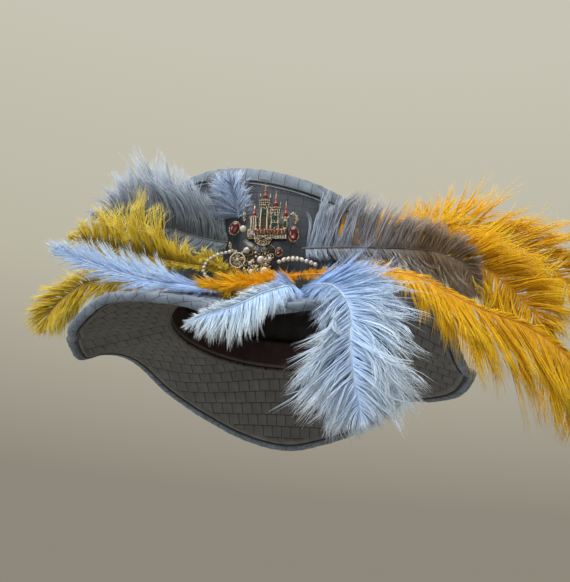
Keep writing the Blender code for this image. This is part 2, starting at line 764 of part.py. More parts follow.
def add_strand(strand, collection, material):
    """Touching beads as one body: rings that swell at each bead and narrow to a neck between."""
    middles = strand_middles(strand)
    radius = strand.bead / 2 * MM
    rings = []
    for i, middle in enumerate(middles):
        before, after = middles[max(i - 1, 0)], middles[min(i + 1, len(middles) - 1)]
        along = (after - before).normalized()
        for shift, width in BEAD_RINGS:
            rings.append(ring_around(middle + along * shift * radius, along, width * radius))
    form = bmesh.new()
    loops = [[form.verts.new(point) for point in ring] for ring in rings]
    for near, far in zip(loops, loops[1:]):
        for i in range(BEAD_SIDES):
            j = (i + 1) % BEAD_SIDES
            form.faces.new((near[i], near[j], far[j], far[i]))
    form.faces.new(tuple(reversed(loops[0])))
    form.faces.new(loops[-1])
    bmesh.ops.recalc_face_normals(form, faces=form.faces)
    mesh = bpy.data.meshes.new(strand.name)
    form.to_mesh(mesh)
    form.free()
    mesh.shade_smooth()
    add_object(strand.name, mesh, collection, material)


def ring_around(middle, along, radius):
    across = along.cross(Vector((0, 1, 0))).normalized()
    upwards = across.cross(along)
    turn = 2 * math.pi / BEAD_SIDES
    return [
        middle + radius * (math.cos(turn * i) * across + math.sin(turn * i) * upwards)
        for i in range(BEAD_SIDES)
    ]


def add_jewels(collection, cutters):
    gold = make_material("antique_gold", METAL, 0.35, 1.0)
    garnet_red = make_material("garnet_red", GARNET, 0.1)
    pearl_white = make_material("pearl_white", PEARL, 0.25)
    blue = make_material("steel_blue_stone", STEEL_BLUE, 0.15)
    fuse("castle_brooch", castle_pieces(), collection, cutters, gold)
    for garnet in GARNETS:
        fuse(garnet.name, garnet_pieces(garnet), collection, cutters, garnet_red)
    fuse("filigree_cluster", cluster_pieces(), collection, cutters, gold)
    for pearl in PEARLS:
        place = moved(pearl.x, pearl.depth, pearl.z)
        ball = mesh_piece(pearl.name, ball_form(pearl.radius), place)
        ball.data.materials.append(pearl_white)
        ball.data.shade_smooth()
        collection.objects.link(ball)
    for strand in STRANDS:
        add_strand(strand, collection, pearl_white)
    for curve in GOLD_CURVES:
        curve_setting(curve, collection, gold)
    curve_setting(BLUE_CURVE, collection, blue)


def build_hat():
    clear_scene()
    hat = make_collection("plumed_hat")
    cutters = make_collection("cutters", rendered=False)
    add_crown_side(hat)
    add_crown_tip(hat)
    add_tip_piping(hat)
    add_brim(hat)
    add_sweatband(hat)
    add_plume_patch(hat)
    for plume in PLUMES:
        add_plume(plume, hat)
    add_jewels(hat, cutters)


build_hat()
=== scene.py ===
"""The looks of a plumed, wide-brimmed hat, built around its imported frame.

Metres, +Z up. The origin is the middle of the head opening, and the front faces -Y. Angles
around the hat are in degrees from the front, positive towards -X.
"""

import math
from collections import namedtuple

import bmesh
import bpy
import numpy as np
from mathutils import Matrix, Vector

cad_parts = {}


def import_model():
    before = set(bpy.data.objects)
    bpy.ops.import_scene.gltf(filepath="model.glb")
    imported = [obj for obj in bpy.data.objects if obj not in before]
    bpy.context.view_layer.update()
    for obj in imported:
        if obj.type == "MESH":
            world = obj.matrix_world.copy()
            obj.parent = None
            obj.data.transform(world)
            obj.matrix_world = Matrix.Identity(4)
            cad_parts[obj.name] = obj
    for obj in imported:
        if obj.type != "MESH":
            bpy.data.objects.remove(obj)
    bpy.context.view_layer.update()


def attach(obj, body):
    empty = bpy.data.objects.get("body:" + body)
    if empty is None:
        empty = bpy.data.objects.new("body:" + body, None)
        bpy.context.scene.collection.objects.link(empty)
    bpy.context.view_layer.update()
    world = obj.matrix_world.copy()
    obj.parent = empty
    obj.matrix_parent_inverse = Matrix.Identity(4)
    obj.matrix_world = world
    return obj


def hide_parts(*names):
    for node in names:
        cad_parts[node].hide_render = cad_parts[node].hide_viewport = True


def rows(kind, *lines):
    """A table whose rows have named columns."""
    return tuple(kind(*line) for line in lines)


def stations(*lines):
    return rows(Station, *lines)


MM = 0.001
BODY = "root"

# The crown, the brim and the band, as in the part.
OPENING = (83 * MM, 98 * MM)
CROWN_BASE = (86 * MM, 101 * MM)
CROWN_SEAM = (99.5 * MM, 112.6 * MM)
SEAM_HEIGHT = 79 * MM
SEAM_LEAN = -0.15
CROWN_WALL = 2 * MM
TIP_RISE = 27 * MM
TIP_EDGE = 2.5 * MM
TIP_PADDING = 3 * MM
PIPING_RADIUS = 0.8 * MM
BRIM_REACH = (165 * MM, 172 * MM)
BRIM_HALF = 1.25 * MM
BRIM_SHOULDER = 5 * MM
ROLL_RADIUS = 3.5 * MM
BINDING_RADIUS = 0.8 * MM
BINDING_IN = 4.2 * MM
BINDING_DOWN = 2.5 * MM
BAND_HEIGHT = 26 * MM
BAND_THICKNESS = 1 * MM
BAND_RIB = 0.1 * MM
BAND_FOOT = 1 * MM
BAND_OUT = 0.6 * MM  # how far the band's back lies outside the opening's own line
# Millimetres in from the middle of the brim's roll and down from it, across the flat band there.
EDGE_BAND = ((4.2, 1.6), (5.0, 1.7), (5.3, 2.3), (6.6, 2.5), (8.3, 2.3), (8.8, 1.5))
EDGE_BAND_END = 9.4 * MM
ROLL_END = -150  # degrees: where the roll meets that band
STITCHES = 190
STITCH_SHARE = 0.62  # of the way from one stitch to the next
STITCH_RADIUS = 0.16 * MM
CORD_RADIUS = 0.4 * MM
CORD_OUT = 0.55 * MM

# How finely the cloths are meshed: points around, and rings across.
BRIM_POINTS = 440
BRIM_RINGS = 44
ROLL_RINGS = 18
UNDER_RINGS = 42
CROWN_POINTS = 360
CROWN_RINGS = 46

# Millimetres: how far the brim's edge is drawn in at an angle, and its height there.
Wave = namedtuple("Wave", "degrees inset height")
WAVES = rows(
    Wave,
    (-168, 0, -50), (-155, 0, -38), (-141, 0, -19), (-134, 0, -15), (-125, 0, -20), (-108, 0, -26),
    (-92, 1, -24), (-80, 6, -33), (-70, 8, -27), (-60, 4, -12), (-50, 0, -6), (-40, 0, -13),
    (-30, 0, -24), (-20, 0, -36), (0, 0, -48), (13, 0, -40), (27, 0, -33), (38, 0, -31),
    (51, 0, -41), (60, 6, -38), (70, 8, -31), (84, 1, -22), (94, 0, -25), (105, 0, -10),
    (115, 0, -1), (124, 0, -3), (136, 0, -19), (148, 0, -33), (165, 0, -50), (180, 0, -57),
)

# Millimetres: the quilt's bricks, along and across their rows, and how far they are padded up.
Quilt = namedtuple("Quilt", "wide high padding")
BRIM_QUILT = Quilt(12.0, 8.0, 1.0)
UNDER_SCALE = np.array((1.2, 0.58))  # its bricks are shorter and deeper than the top's
SIDE_QUILT = Quilt(12.0, 8.0, 0.35)
TIP_QUILT = Quilt(10.0, 14.0, 1.2)
TIP_SHIFT = (0, 0.8 * MM)

# Millimetres: a point of the quill, and how far the barbs reach on its two sides there.
Station = namedtuple("Station", "x y z upper lower")
# barbs are gathered into clumps. lean and bend, in degrees, turn them towards the quill's tip,
# and curl turns their ends. The sides are the directions of its upper barbs at root and tip.
Plume = namedtuple(
    "Plume", "name dye barbs clumps lean bend curl droop fluff side_root side_tip stations"
)

UP = np.array((0.0, 0.0, 1.0))
TUBE_GUIDE = np.array((0.13, 0.31, 0.94))  # along no part's own line
UPRIGHT = (0, 0, 1)
TO_CROWN = (0, 0.8, 0.6)
LEFT_TO_CROWN = (-0.7, 0.6, 0.4)
TO_RIGHT = (1, 0, 0)
RIGHT_AND_UP = (1, 0, 0.9)
LEFT_AND_UP = (-1, 0, 0.9)
TO_LEFT = (-1, 0, 0)

PLUMES = (
    Plume("slate_left", "slate", 2000, 300, 20, 40, 20, 0, 0.2, UPRIGHT, UPRIGHT, stations(
        (-20.6, -117, 26.5, 8, 6), (-34, -117, 28, 44, 18), (-63, -112, 37, 58, 26),
        (-94, -102, 48, 48, 24), (-128, -92, 57, 14, 12),
    )),
    Plume("slate_right", "slate_taupe", 2500, 350, 20, 16, 24, 0, 0.2, UPRIGHT, UPRIGHT, stations(
        (32.9, -117, 24, 36, 9), (64, -115, 27, 52, 15), (103, -102, 34, 36, 29),
        (130, -90, 38, 28, 40), (149, -82, 34, 18, 32), (158, -78, 18, 8, 12),
    )),
    Plume("sky_upright", "sky_down", 700, 150, 60, -16, 30, 0, 0.35, TO_LEFT, TO_LEFT, stations(
        (-15, -118.2, 46, 17, 9), (-17, -117.6, 54, 19, 11), (-20, -117.4, 64, 18, 14),
        (-25, -118, 75, 9, 9),
    )),
    Plume("yellow_left", "lemon", 2100, 260, 30, 22, 80, 0, 0.55, UPRIGHT, UPRIGHT, stations(
        (-13, -119, 4, 2, 2), (-24, -120.5, 4, 5, 3), (-46, -121, 6, 18, 7),
        (-68, -119, 10, 40, 12), (-94, -114, 17, 38, 14), (-121, -108, 26, 25, 14),
        (-143, -102, 33, 8, 8),
    )),
    Plume("gold_left", "lemon", 2200, 330, 34, 12, 30, 0.5, 0.3, UPRIGHT, UPRIGHT, stations(
        (-68.1, -67.1, 15, 2, 2), (-92, -60, 16, 8, 8), (-118, -56, 17, 13, 14),
        (-143, -52, 17, 20, 26), (-159, -48, 10, 28, 32), (-172, -45, -3, 28, 24),
        (-178, -43, -15, 12, 10),
    )),
    Plume("yellow_tuft", "lemon_bright", 260, 22, 28, 10, 70, 0, 0.8, UPRIGHT, UPRIGHT, stations(
        (-17, -123.3, 3, 4, 3), (-29, -123.3, 9, 9, 7), (-41, -123.5, 14, 6, 6),
    )),
    Plume("sky_left", "sky", 1700, 280, 66, 4, 7, 0, 0.06, LEFT_TO_CROWN, UPRIGHT, stations(
        (-6, -128, -14.9, 6, 5), (-26, -146, -22, 13, 8), (-46, -146, -20, 17, 9),
        (-68, -136, -14, 19, 11), (-106, -120, 1, 17, 13), (-151, -106, 20, 7, 6),
    )),
    Plume("sky_brow", "sky_light", 1700, 260, 38, 6, 18, 0.5, 0.18, LEFT_AND_UP, UPRIGHT, stations(
        (30, -116, -8.3, 18, 12), (33, -138, -14, 16, 13), (28, -164, -26, 10, 15),
        (19, -182, -38, 9, 23), (6, -187, -48, 8, 24), (-7, -190, -55, 7, 18),
        (-21, -191, -61, 4, 7),
    )),
    Plume("sky_front", "sky_pale", 2900, 450, 36, 18, 32, 0.3, 0.2, RIGHT_AND_UP, TO_RIGHT, stations(
        (36, -112, -3, 20, 14), (46, -128, -8, 34, 22), (58, -145, -15, 40, 26),
        (68, -163, -29, 44, 28), (75, -179, -48, 46, 34), (76, -185, -68, 50, 44),
        (79, -187, -88, 34, 36), (83, -186, -106, 17, 20), (85, -185, -116, 6, 6),
    )),
    Plume("orange_front", "orange", 1900, 260, 42, 10, 36, 0, 0.42, LEFT_TO_CROWN, TO_CROWN, stations(
        (28, -120.1, 1.6, 8, 8), (17, -131, -7, 14, 16), (-1, -139, -14, 17, 17),
        (-24, -143, -18, 12, 12),
    )),
    Plume("orange_side", "orange", 600, 80, 46, 8, 50, 0, 0.45, UPRIGHT, UPRIGHT, stations(
        (31, -118.9, 2.6, 2, 3), (60, -120.5, 4, 8, 5), (86, -119, 7, 10, 6), (106, -117, 5, 5, 4),
    )),
    Plume("gold_upper", "gold", 2500, 380, 28, 28, 50, 0.25, 0.4, UPRIGHT, UPRIGHT, stations(
        (48.5, -95.2, 40, 2, 2), (72, -88, 49, 24, 10), (102, -82, 50, 38, 16),
        (136, -75, 48, 44, 29), (167, -70, 35, 46, 38), (192, -66, 15, 42, 40),
        (211, -64, -7, 18, 18),
    )),
    Plume("gold_back", "gold", 2300, 330, 28, 28, 54, 0.25, 0.45, UPRIGHT, UPRIGHT, stations(
        (85.1, -57.4, 53, 2, 2), (102, -58, 65, 14, 10), (142, -48, 82, 37, 32),
        (185, -40, 75, 44, 42), (220, -36, 54, 42, 42), (246, -34, 23, 16, 18),
    )),
    Plume("gold_front", "gold", 2800, 450, 40, 6, 24, 0.9, 0.24, TO_CROWN, UPRIGHT, stations(
        (52, -124.6, 0, 3, 3), (70, -131, -1, 8, 8), (92, -139, -1, 9, 14), (114, -145, -6, 9, 34),
        (135, -144, -16, 9, 50), (156, -141, -25, 9, 56), (191, -128, -33, 10, 58),
        (217, -121, -51, 9, 46), (234, -117, -76, 6, 16),
    )),
)
BARB_STEPS = 4
BARB_WIDTH = 0.72 * MM
BARB_DEPTH = 0.22 * MM
STRAY_SHARE = 0.25  # times a plume's fluff: its wisps that reach further than the rest
STRAY_LENGTH = (1.06, 1.35)
FRAY = 0.9 * MM
FRONT_LIMIT = -211 * MM  # no wisp comes further forward
ROOT_LEAN = 0.25  # share of a plume's lean that its root barbs have
TIP_LEAN = 78  # degrees
QUILL_ROOT = 0.65 * MM
QUILL_TIP = 0.3 * MM
QUILL_STEPS = 60

# Linear colours: a barb's root, middle and tip, the colour of its dark strands, which is painted
# shade between wisps, the colour of the barbs nearest the quill's root, and the quill.
Dye = namedtuple("Dye", "root middle tip dark near quill slot")
DYES = {
    "slate": Dye(
        (0.075, 0.085, 0.09), (0.19, 0.23, 0.29), (0.64, 0.76, 0.95), (0.022, 0.025, 0.026),
        (0.13, 0.155, 0.17), (0.05, 0.055, 0.06), "slate_plume",
    ),
    "slate_taupe": Dye(
        (0.13, 0.085, 0.045), (0.18, 0.125, 0.075), (0.42, 0.34, 0.27), (0.04, 0.027, 0.015),
        (0.34, 0.45, 0.62), (0.09, 0.08, 0.07), "slate_plume",
    ),
    "sky": Dye(
        (0.24, 0.42, 0.80), (0.42, 0.60, 0.90), (0.70, 0.83, 0.95), (0.12, 0.20, 0.38),
        (0.22, 0.38, 0.80), (0.45, 0.52, 0.62), "sky_plume",
    ),
    "sky_down": Dye(
        (0.18, 0.25, 0.38), (0.34, 0.46, 0.70), (0.62, 0.75, 0.95), (0.07, 0.09, 0.14),
        (0.12, 0.16, 0.24), (0.10, 0.13, 0.20), "sky_plume",
    ),
    "sky_light": Dye(
        (0.40, 0.60, 0.95), (0.66, 0.84, 1.0), (0.86, 0.95, 1.0), (0.26, 0.38, 0.60),
        (0.22, 0.44, 0.92), (0.55, 0.68, 0.80), "sky_plume",
    ),
    "sky_pale": Dye(
        (0.32, 0.48, 0.78), (0.57, 0.74, 0.96), (0.80, 0.90, 1.0), (0.19, 0.28, 0.44),
        (0.20, 0.40, 0.84), (0.40, 0.48, 0.50), "sky_plume",
    ),
    "lemon": Dye(
        (0.24, 0.15, 0.004), (0.70, 0.49, 0.02), (0.95, 0.80, 0.16), (0.14, 0.08, 0.003),
        (0.45, 0.28, 0.008), (0.35, 0.22, 0.02), "lemon_plume",
    ),
    "lemon_bright": Dye(
        (0.60, 0.42, 0.02), (0.88, 0.70, 0.06), (0.97, 0.84, 0.20), (0.20, 0.12, 0.005),
        (0.55, 0.38, 0.01), (0.4, 0.3, 0.04), "lemon_plume",
    ),
    "gold": Dye(
        (0.60, 0.25, 0.002), (0.92, 0.50, 0.004), (1.0, 0.70, 0.04), (0.34, 0.13, 0.002),
        (0.80, 0.36, 0.004), (0.5, 0.22, 0.01), "gold_plume",
    ),
    "orange": Dye(
        (0.90, 0.38, 0.002), (1.0, 0.52, 0.004), (1.0, 0.66, 0.03), (0.55, 0.20, 0.002),
        (0.90, 0.36, 0.003), (0.6, 0.25, 0.01), "gold_plume",
    ),
}

# The cluster on the crown's front, as in the part: millimetres, and leans in degrees.
JEWEL_BACK = -118 * MM
PAD_FRONT = -117.5 * MM
PAD_BOX = (-20 * MM, 32 * MM, 1.5 * MM, 62 * MM)
PAD_SOFT = (18 * MM, 22 * MM)  # how wide its soft edges are at its sides and its ends
PAD_POINTS = 50
CASTLE_FOOT = (8.1, 28.5)
CASTLE_LEAN = -2.5
WALL = (28, 3.0, 12)
GALLERY = (22.6, 4.3, 3.4, 4)
FAN = (-2.9, 1.2, 6.2, 6.4)

# Millimetres from the castle's foot: a tower's middle, half-width, wall top and roof height.
Tower = namedtuple("Tower", "across half top roof")
TOWERS = rows(
    Tower,
    (-10.8, 2.7, 18.4, 10.5), (-3.4, 3.5, 32.2, 14.5), (4.6, 3.5, 26, 13.5),
    (12.3, 1.9, 17.4, 15.5),
)
# A window's tower, its height on the castle, and its half-width and half-height.
Window = namedtuple("Window", "tower z half_width half_height")
WINDOWS = rows(
    Window,
    (1, 21.8, 1.9, 2.2), (2, 16.9, 2.3, 2.0), (2, 11.2, 2.3, 1.9), (3, 11.8, 1.2, 3.0),
)
# How many tiers of battlements each tower has, and the height of its pinnacles.
TIERS = (1, 4, 3, 1)
PINNACLES = (0.8, 5.2, 3.4, 1.2)
Pearl = namedtuple("Pearl", "name x depth z radius")
PEARLS = rows(
    Pearl,
    ("pearl_upper_left", -10.3, -121, 36, 2.6), ("pearl_left", -5.9, -121.6, 18.6, 2.4),
    ("pearl_middle", 5.3, -122.3, 11.5, 2.8), ("pearl_low_right", 8.7, -121.5, 2.9, 3.3),
    ("pearl_low_left", -1.0, -120.5, 2.6, 2.1),
)
Garnet = namedtuple("Garnet", "name x z half_width half_height lean")
GARNETS = rows(
    Garnet,
    ("garnet_left", -16.9, 37, 3.9, 5.6, 12), ("garnet_right", 26.4, 34, 4.0, 6.2, -8),
    ("garnet_drop", 17.2, 19.4, 2.5, 3.4, 0),
)
Leaf = namedtuple("Leaf", "x z lean half_length half_width stone")
LEAVES = rows(
    Leaf,
    (-4.6, 24.2, -54, 5.4, 2.0, "smoke"), (1.8, 21.2, 8, 3.2, 1.8, "steel_blue"),
    (6.4, 21.9, -12, 3.2, 1.8, "steel_blue"), (11.4, 22.4, -42, 3.2, 1.6, "dark"),
)
PLATE = (1.5, 13, 13.5, 10.5)
FLOWER = (-12, 11.6)
# Place and radius of the pearls among the filigree.
CLUSTER_PEARLS = ((-2.4, 9.6, 1.6), (2.2, 7.2, 1.4), (11.2, 13.4, 1.7), (8.6, 9, 1.5))
Strand = namedtuple("Strand", "name bead depth points")
STRANDS = rows(
    Strand,
    ("pearl_strand_left", 2.8, -126.2, ((-17, 15), (-25.5, 12), (-32, 7), (-34, -1), (-27.5, -9))),
    ("pearl_strand_right", 3.3, -122, ((18.5, 10.6), (23.6, 12.6), (33, 13), (41, 10.9), (45, 9.4))),
    ("pearl_strand_back", 3.0, -119.3, ((21.8, 14), (28.3, 15.4), (35, 14.2))),
)
Curve = namedtuple("Curve", "name radius stone half_width half_height pitch points")
CURVES = rows(
    Curve,
    ("rhinestone_curve", 1.3, "clear", 0.72, 0.72, 1.55, ((-19, 25), (-17.5, 19.5), (-13, 18))),
    ("scroll", 1.2, "clear", 0.72, 0.72, 1.55, ((23.2, 49.4), (25.6, 50.6), (27.8, 47), (27.2, 42.4))),
    ("baguette_bar", 1.2, "steel_blue", 0.95, 2.6, 6.1, ((-10.9, 56), (-10.4, 43.5))),
)
BLOCK_BEVEL = 0.14
GEM_LEVELS = ((1.0, 0.0), (0.86, 0.55), (0.52, 1.0))  # reach and height of its facets' rings
SQUARE = ((-1, -1), (1, -1), (1, 1), (-1, 1))
WIRE_GUIDE = Vector((0.1, 1, 0.07))  # along no wire
TOWER_DEPTH = 3.7
CORNER = -11.6  # the middle of the square stone's block on the castle
GALLERY_MIDDLE = 1.4
GALLERY_STONES = 9
JEWEL_KINDS = (
    "gold", "clear", "red", "green", "garnet", "steel_blue", "smoke", "rose", "pearl", "dark"
)

# Linear colours of the quilted cloths: light, dark and on their lines, and how wide these are.
Quilted = namedtuple("Quilted", "name light dark line line_width")
QUILTED = {
    "brim": Quilted(
        "brim_cloth_blue", (0.15, 0.195, 0.26), (0.085, 0.11, 0.155), (0.024, 0.031, 0.042), 0.035
    ),
    "under": Quilted(
        "brim_cloth_under", (0.09, 0.09, 0.094), (0.06, 0.06, 0.064), (0.016, 0.016, 0.018), 0.06
    ),
    # The crown's side is the brim's cloth at about half its brightness: painted shade from the plumes
    # over it. The padded patch uses it too.
    "side": Quilted(
        "crown_cloth_blue", (0.082, 0.096, 0.118), (0.054, 0.065, 0.083), (0.03, 0.036, 0.048), 0.025
    ),
    "tip": Quilted(
        "tip_cloth_blue", (0.14, 0.185, 0.235), (0.078, 0.10, 0.137), (0.026, 0.033, 0.045), 0.03
    ),
}
Plain = namedtuple("Plain", "name light dark roughness grain relief", defaults=(0.85, 1500.0, 0.3))
PLAIN = {
    "band": Plain("edge_band_grey", (0.12, 0.12, 0.12), (0.08, 0.08, 0.08)),
    "lining": Plain("crown_lining", (0.05, 0.045, 0.048), (0.03, 0.028, 0.03)),
    "black": Plain("piping_cord", (0.016, 0.016, 0.02), (0.006, 0.006, 0.008), 0.55),
    "leather": Plain("sweatband_leather", (0.05, 0.03, 0.035), (0.03, 0.018, 0.02), 0.45, 700, 0.5),
    "thread": Plain("pale_thread", (0.30, 0.34, 0.40), (0.19, 0.22, 0.27), 0.6),
}
Stone = namedtuple("Stone", "name colour roughness metallic coat", defaults=(0.04, 0.0, 0.8))
STONES = {
    "clear": Stone("rhinestone", (0.46, 0.42, 0.34), 0.1, 0.6),
    "red": Stone("red_enamel", (0.075, 0.006, 0.004), 0.3, 0.0, 0.15),
    "green": Stone("green_glass", (0.002, 0.024, 0.019), 0.08, 0.0, 0.2),
    "garnet": Stone("garnet_glass", (0.04, 0.001, 0.002), 0.1, 0.0, 0.15),
    "smoke": Stone("smoke_glass", (0.16, 0.18, 0.19), 0.08),
    # A pale pink-red for painted highlights: a small dome low on a garnet and thin rings round the
    # castle's roofs.
    "rose": Stone("rose_glint", (0.42, 0.14, 0.10), 0.25, 0.0, 0.3),
    "steel_blue": Stone("steel_blue_glass", (0.075, 0.095, 0.13)),
    # Near-black, put as painted shade behind the castle's stones and windows, in the fan and under the
    # filigree; one leaf stone has it as its own colour.
    "dark": Stone("dark_recess", (0.02, 0.014, 0.008), 0.8, 0.0, 0.0),
}

# The photograph's frame and the camera that took it, in the hat's own frame.
CAMERA_AT = (0.106, -0.701, -0.248)
CAMERA_FORWARD = (-0.129, 0.918, 0.375)
CAMERA_UP = (-0.043, -0.383, 0.923)
CAMERA_LENS = 55.9
CAMERA_SENSOR = 36
FLOOR_HEIGHT = -1.1
FLOOR_COLOUR = (0.46, 0.44, 0.40)
# The room's colour by the sine of the height that one looks at.
ROOM_SHADES = (
    (0.02, (0.27, 0.25, 0.205)),
    (0.16, (0.275, 0.245, 0.20)),
    (0.38, (0.50, 0.475, 0.38)),
    (0.60, (0.57, 0.55, 0.46)),
)
Lamp = namedtuple("Lamp", "name at size power colour")
LAMPS = rows(
    Lamp,
    ("ceiling", (-0.2, -0.6, 1.5), 1.3, 36, (1.0, 0.98, 0.95)),
    ("window", (-1.3, -1.2, 0.7), 0.9, 16, (0.95, 0.98, 1.0)),
    ("front_fill", (0.2, -1.6, 0.1), 1.2, 8, (1.0, 0.98, 0.95)),
    ("low_left", (-1.2, -0.7, -0.5), 0.8, 5, (1.0, 0.98, 0.94)),
    ("back_fill", (0.5, 1.5, 0.9), 1.3, 16, (0.97, 0.98, 1.0)),
)


def smooth(points, at):
    """Points of a smooth curve through these, for places from 0 to the last index."""
    points = np.asarray(points, float)
    last = len(points) - 1
    index = np.clip(np.asarray(at).astype(int), 0, last - 1)
    t = (at - index)[:, None]
    padded = np.vstack((2 * points[0] - points[1], points, 2 * points[-1] - points[-2]))
    before, here, following, after = (padded[index + shift] for shift in range(4))
    return 0.5 * (
        2 * here
        + (following - before) * t
        + (2 * before - 5 * here + 4 * following - after) * t**2
        + (3 * here - before - 3 * following + after) * t**3
    )


def unit(vectors):
    return vectors / np.linalg.norm(vectors, axis=-1, keepdims=True)


def ease(low, high, value):
    """0 below low and 1 above high, with a soft change between."""
    t = np.clip((value - low) / (high - low), 0, 1)
    return t * t * (3 - 2 * t)


def on_ellipse(axes, degrees, height, outwards=0.0):
    angle = np.radians(degrees)
    x = -(axes[0] + outwards) * np.sin(angle)
    y = -(axes[1] + outwards) * np.cos(angle)
    return np.stack((x, y, np.broadcast_to(height, x.shape)), -1)


def turns(count):
    return np.arange(count) * 360 / count - 180


def rim_at(degrees):
    """The middle of the brim's edge roll at these angles."""
    table = np.array([(w.degrees + 360 * turn, w.inset, w.height) for turn in (-1, 0, 1) for w in WAVES])
    index = np.searchsorted(table[:, 0], degrees, side="right") - 1
    start, end = table[index, 0], table[index + 1, 0]
    at = index + (degrees - start) / (end - start)
    row = smooth(table, at) * MM
    return on_ellipse(BRIM_REACH, degrees, row[:, 2], -row[:, 1])


def seam_at(degrees, rise=0.0, outwards=0.0):
    """Points of the seam between the crown's side and its tip."""
    x = -CROWN_SEAM[0] * np.sin(np.radians(degrees))
    return on_ellipse(CROWN_SEAM, degrees, SEAM_HEIGHT + SEAM_LEAN * x + rise, outwards)


def padding(quilt, flat):
    """How far a quilt stands up at these flat places: low on its stitch lines, full in a brick."""
    row = flat[..., 1] / (quilt.high * MM)
    column = flat[..., 0] / (quilt.wide * MM) + 0.5 * (np.floor(row) % 2)
    across, along = row % 1, column % 1
    pillow = np.clip(16 * across * (1 - across) * along * (1 - along), 0, 1) ** 0.4
    return (pillow - 0.7) * quilt.padding * MM


def as_object(mesh, materials, slot_name, *nodes):
    """Links a mesh as a piece that rides on the hat, in place of these nodes of the frame."""
    obj = bpy.data.objects.new(mesh.name, mesh)
    bpy.context.scene.collection.objects.link(obj)
    for material in materials:
        mesh.materials.append(material)
    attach(obj, BODY)
    if nodes:
        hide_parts(*nodes)
    return obj


def mesh_from(name, points, groups, uv=None, material_index=None, rounded=True):
    """A mesh from an array of points and arrays of faces, with equally many corners in each."""
    mesh = bpy.data.meshes.new(name)
    corners = np.concatenate([group.ravel() for group in groups])
    sizes = np.concatenate([np.full(len(group), group.shape[1]) for group in groups])
    mesh.vertices.add(len(points))
    mesh.vertices.foreach_set("co", points.astype(np.float32).ravel())
    mesh.loops.add(len(corners))
    mesh.loops.foreach_set("vertex_index", corners.astype(np.int32))
    mesh.polygons.add(len(sizes))
    mesh.polygons.foreach_set("loop_start", (np.cumsum(sizes) - sizes).astype(np.int32))
    if material_index is not None:
        mesh.polygons.foreach_set("material_index", material_index.astype(np.int32))
    mesh.update(calc_edges=True)
    if rounded:
        mesh.shade_smooth()
    if uv is not None:
        layer = mesh.uv_layers.new(name="Quilt")
        layer.data.foreach_set("uv", uv[corners].astype(np.float32).ravel())
    return mesh


def ring_faces(count, columns, closed):
    """Quads of a grid that is closed along its rows, and also across them if asked."""
    index = np.arange(count * columns).reshape(count, columns)
    beside = np.roll(index, -1, axis=1)
    quads = np.stack((index, beside, np.roll(beside, -1, axis=0), np.roll(index, -1, axis=0)), -1)
    return quads[: count if closed else count - 1].reshape(-1, 4)


class Loft:
    """Rings of points, each with its material, its flat place and how far its quilt stands up."""

    def __init__(self):
        self.points, self.flats, self.slots = [], [], []

    def ring(self, points, slot, flat=None, outwards=None, quilt=None, share=1.0):
        flat = points[:, :2] if flat is None else flat
        if quilt is not None:
            points = points + outwards * (padding(quilt, flat) * share)[:, None]
        self.points.append(points)
        self.flats.append(flat)
        self.slots.append(slot)

    def build(self, name, quilt):
        columns = len(self.points[0])
        faces = ring_faces(len(self.points), columns, True)
        uv = np.concatenate(self.flats) / MM / np.array((quilt.wide, quilt.high))
        slots = np.repeat(self.slots, columns)
        return mesh_from(name, np.concatenate(self.points), (faces,), uv, slots)


def fill(tree, socket, value):
    """Links a socket to an output, or sets its value or its colour."""
    if isinstance(value, bpy.types.NodeSocket):
        tree.links.new(value, socket)
    else:
        socket.default_value = (*value, 1) if isinstance(value, tuple) else value


def set_inputs(tree, node, inputs):
    for name, value in inputs.items():
        fill(tree, node.inputs[name], value)


def new_node(tree, kind, inputs=None):
    node = tree.nodes.new("ShaderNode" + kind)
    set_inputs(tree, node, inputs or {})
    return node


def new_material(name, roughness, metallic=0.0):
    material = bpy.data.materials.new(name)
    material.use_nodes = True
    tree = material.node_tree
    shader = tree.nodes["Principled BSDF"]
    set_inputs(tree, shader, {"Roughness": roughness, "Metallic": metallic})
    return material, tree, shader


def speckled(name, stops, scale, detail, roughness, metallic=0.0):
    """A material whose colour varies between these stops, in blotches of this scale."""
    material, tree, shader = new_material(name, roughness, metallic)
    set_inputs(tree, shader, {"Base Color": colour_ramp(tree, stops, noise(tree, scale, detail))})
    return material, tree, shader


def colour_ramp(tree, stops, factor):
    """Colours, or greys given as one number, at places from 0 to 1."""
    ramp = new_node(tree, "ValToRGB", {"Fac": factor})
    elements = ramp.color_ramp.elements
    while len(elements) < len(stops):
        elements.new(0.5)
    for element, (place, colour) in zip(elements, stops):
        element.position = place
        element.color = (*colour, 1) if isinstance(colour, tuple) else (colour, colour, colour, 1)
    return ramp.outputs["Color"]


def noise(tree, scale, detail):
    place = new_node(tree, "TexCoord").outputs["Object"]
    texture = new_node(tree, "TexNoise", {"Scale": scale, "Detail": detail, "Vector": place})
    return texture.outputs["Fac"]


def mix(tree, kind, amount, one, other):
    """Two colours mixed by MIX or MULTIPLY, each a colour or an output."""
    node = tree.nodes.new("ShaderNodeMix")
    node.data_type = "RGBA"
    node.blend_type = kind
    for socket, value in zip([s for s in node.inputs if s.enabled], (amount, one, other)):
        fill(tree, socket, value)
    return [s for s in node.outputs if s.enabled][0]


def bump(tree, height, strength, distance, before=None):
    inputs = {"Height": height, "Strength": strength, "Distance": distance}
    if before is not None:
        inputs["Normal"] = before
    return new_node(tree, "Bump", inputs).outputs["Normal"]


def brick_lines(tree, width):
    """1 on the quilt's stitch lines and 0 in its bricks."""
    brick = new_node(tree, "TexBrick", {
        "Color1": (0, 0, 0), "Color2": (0, 0, 0), "Mortar": (1, 1, 1), "Mortar Size": width,
        "Mortar Smooth": 0.6, "Scale": 1.0, "Brick Width": 1.0, "Row Height": 1.0,
        "Vector": new_node(tree, "TexCoord").outputs["UV"],
    })
    brick.offset = 0.5
    brick.offset_frequency = 2
    return brick.outputs["Color"]


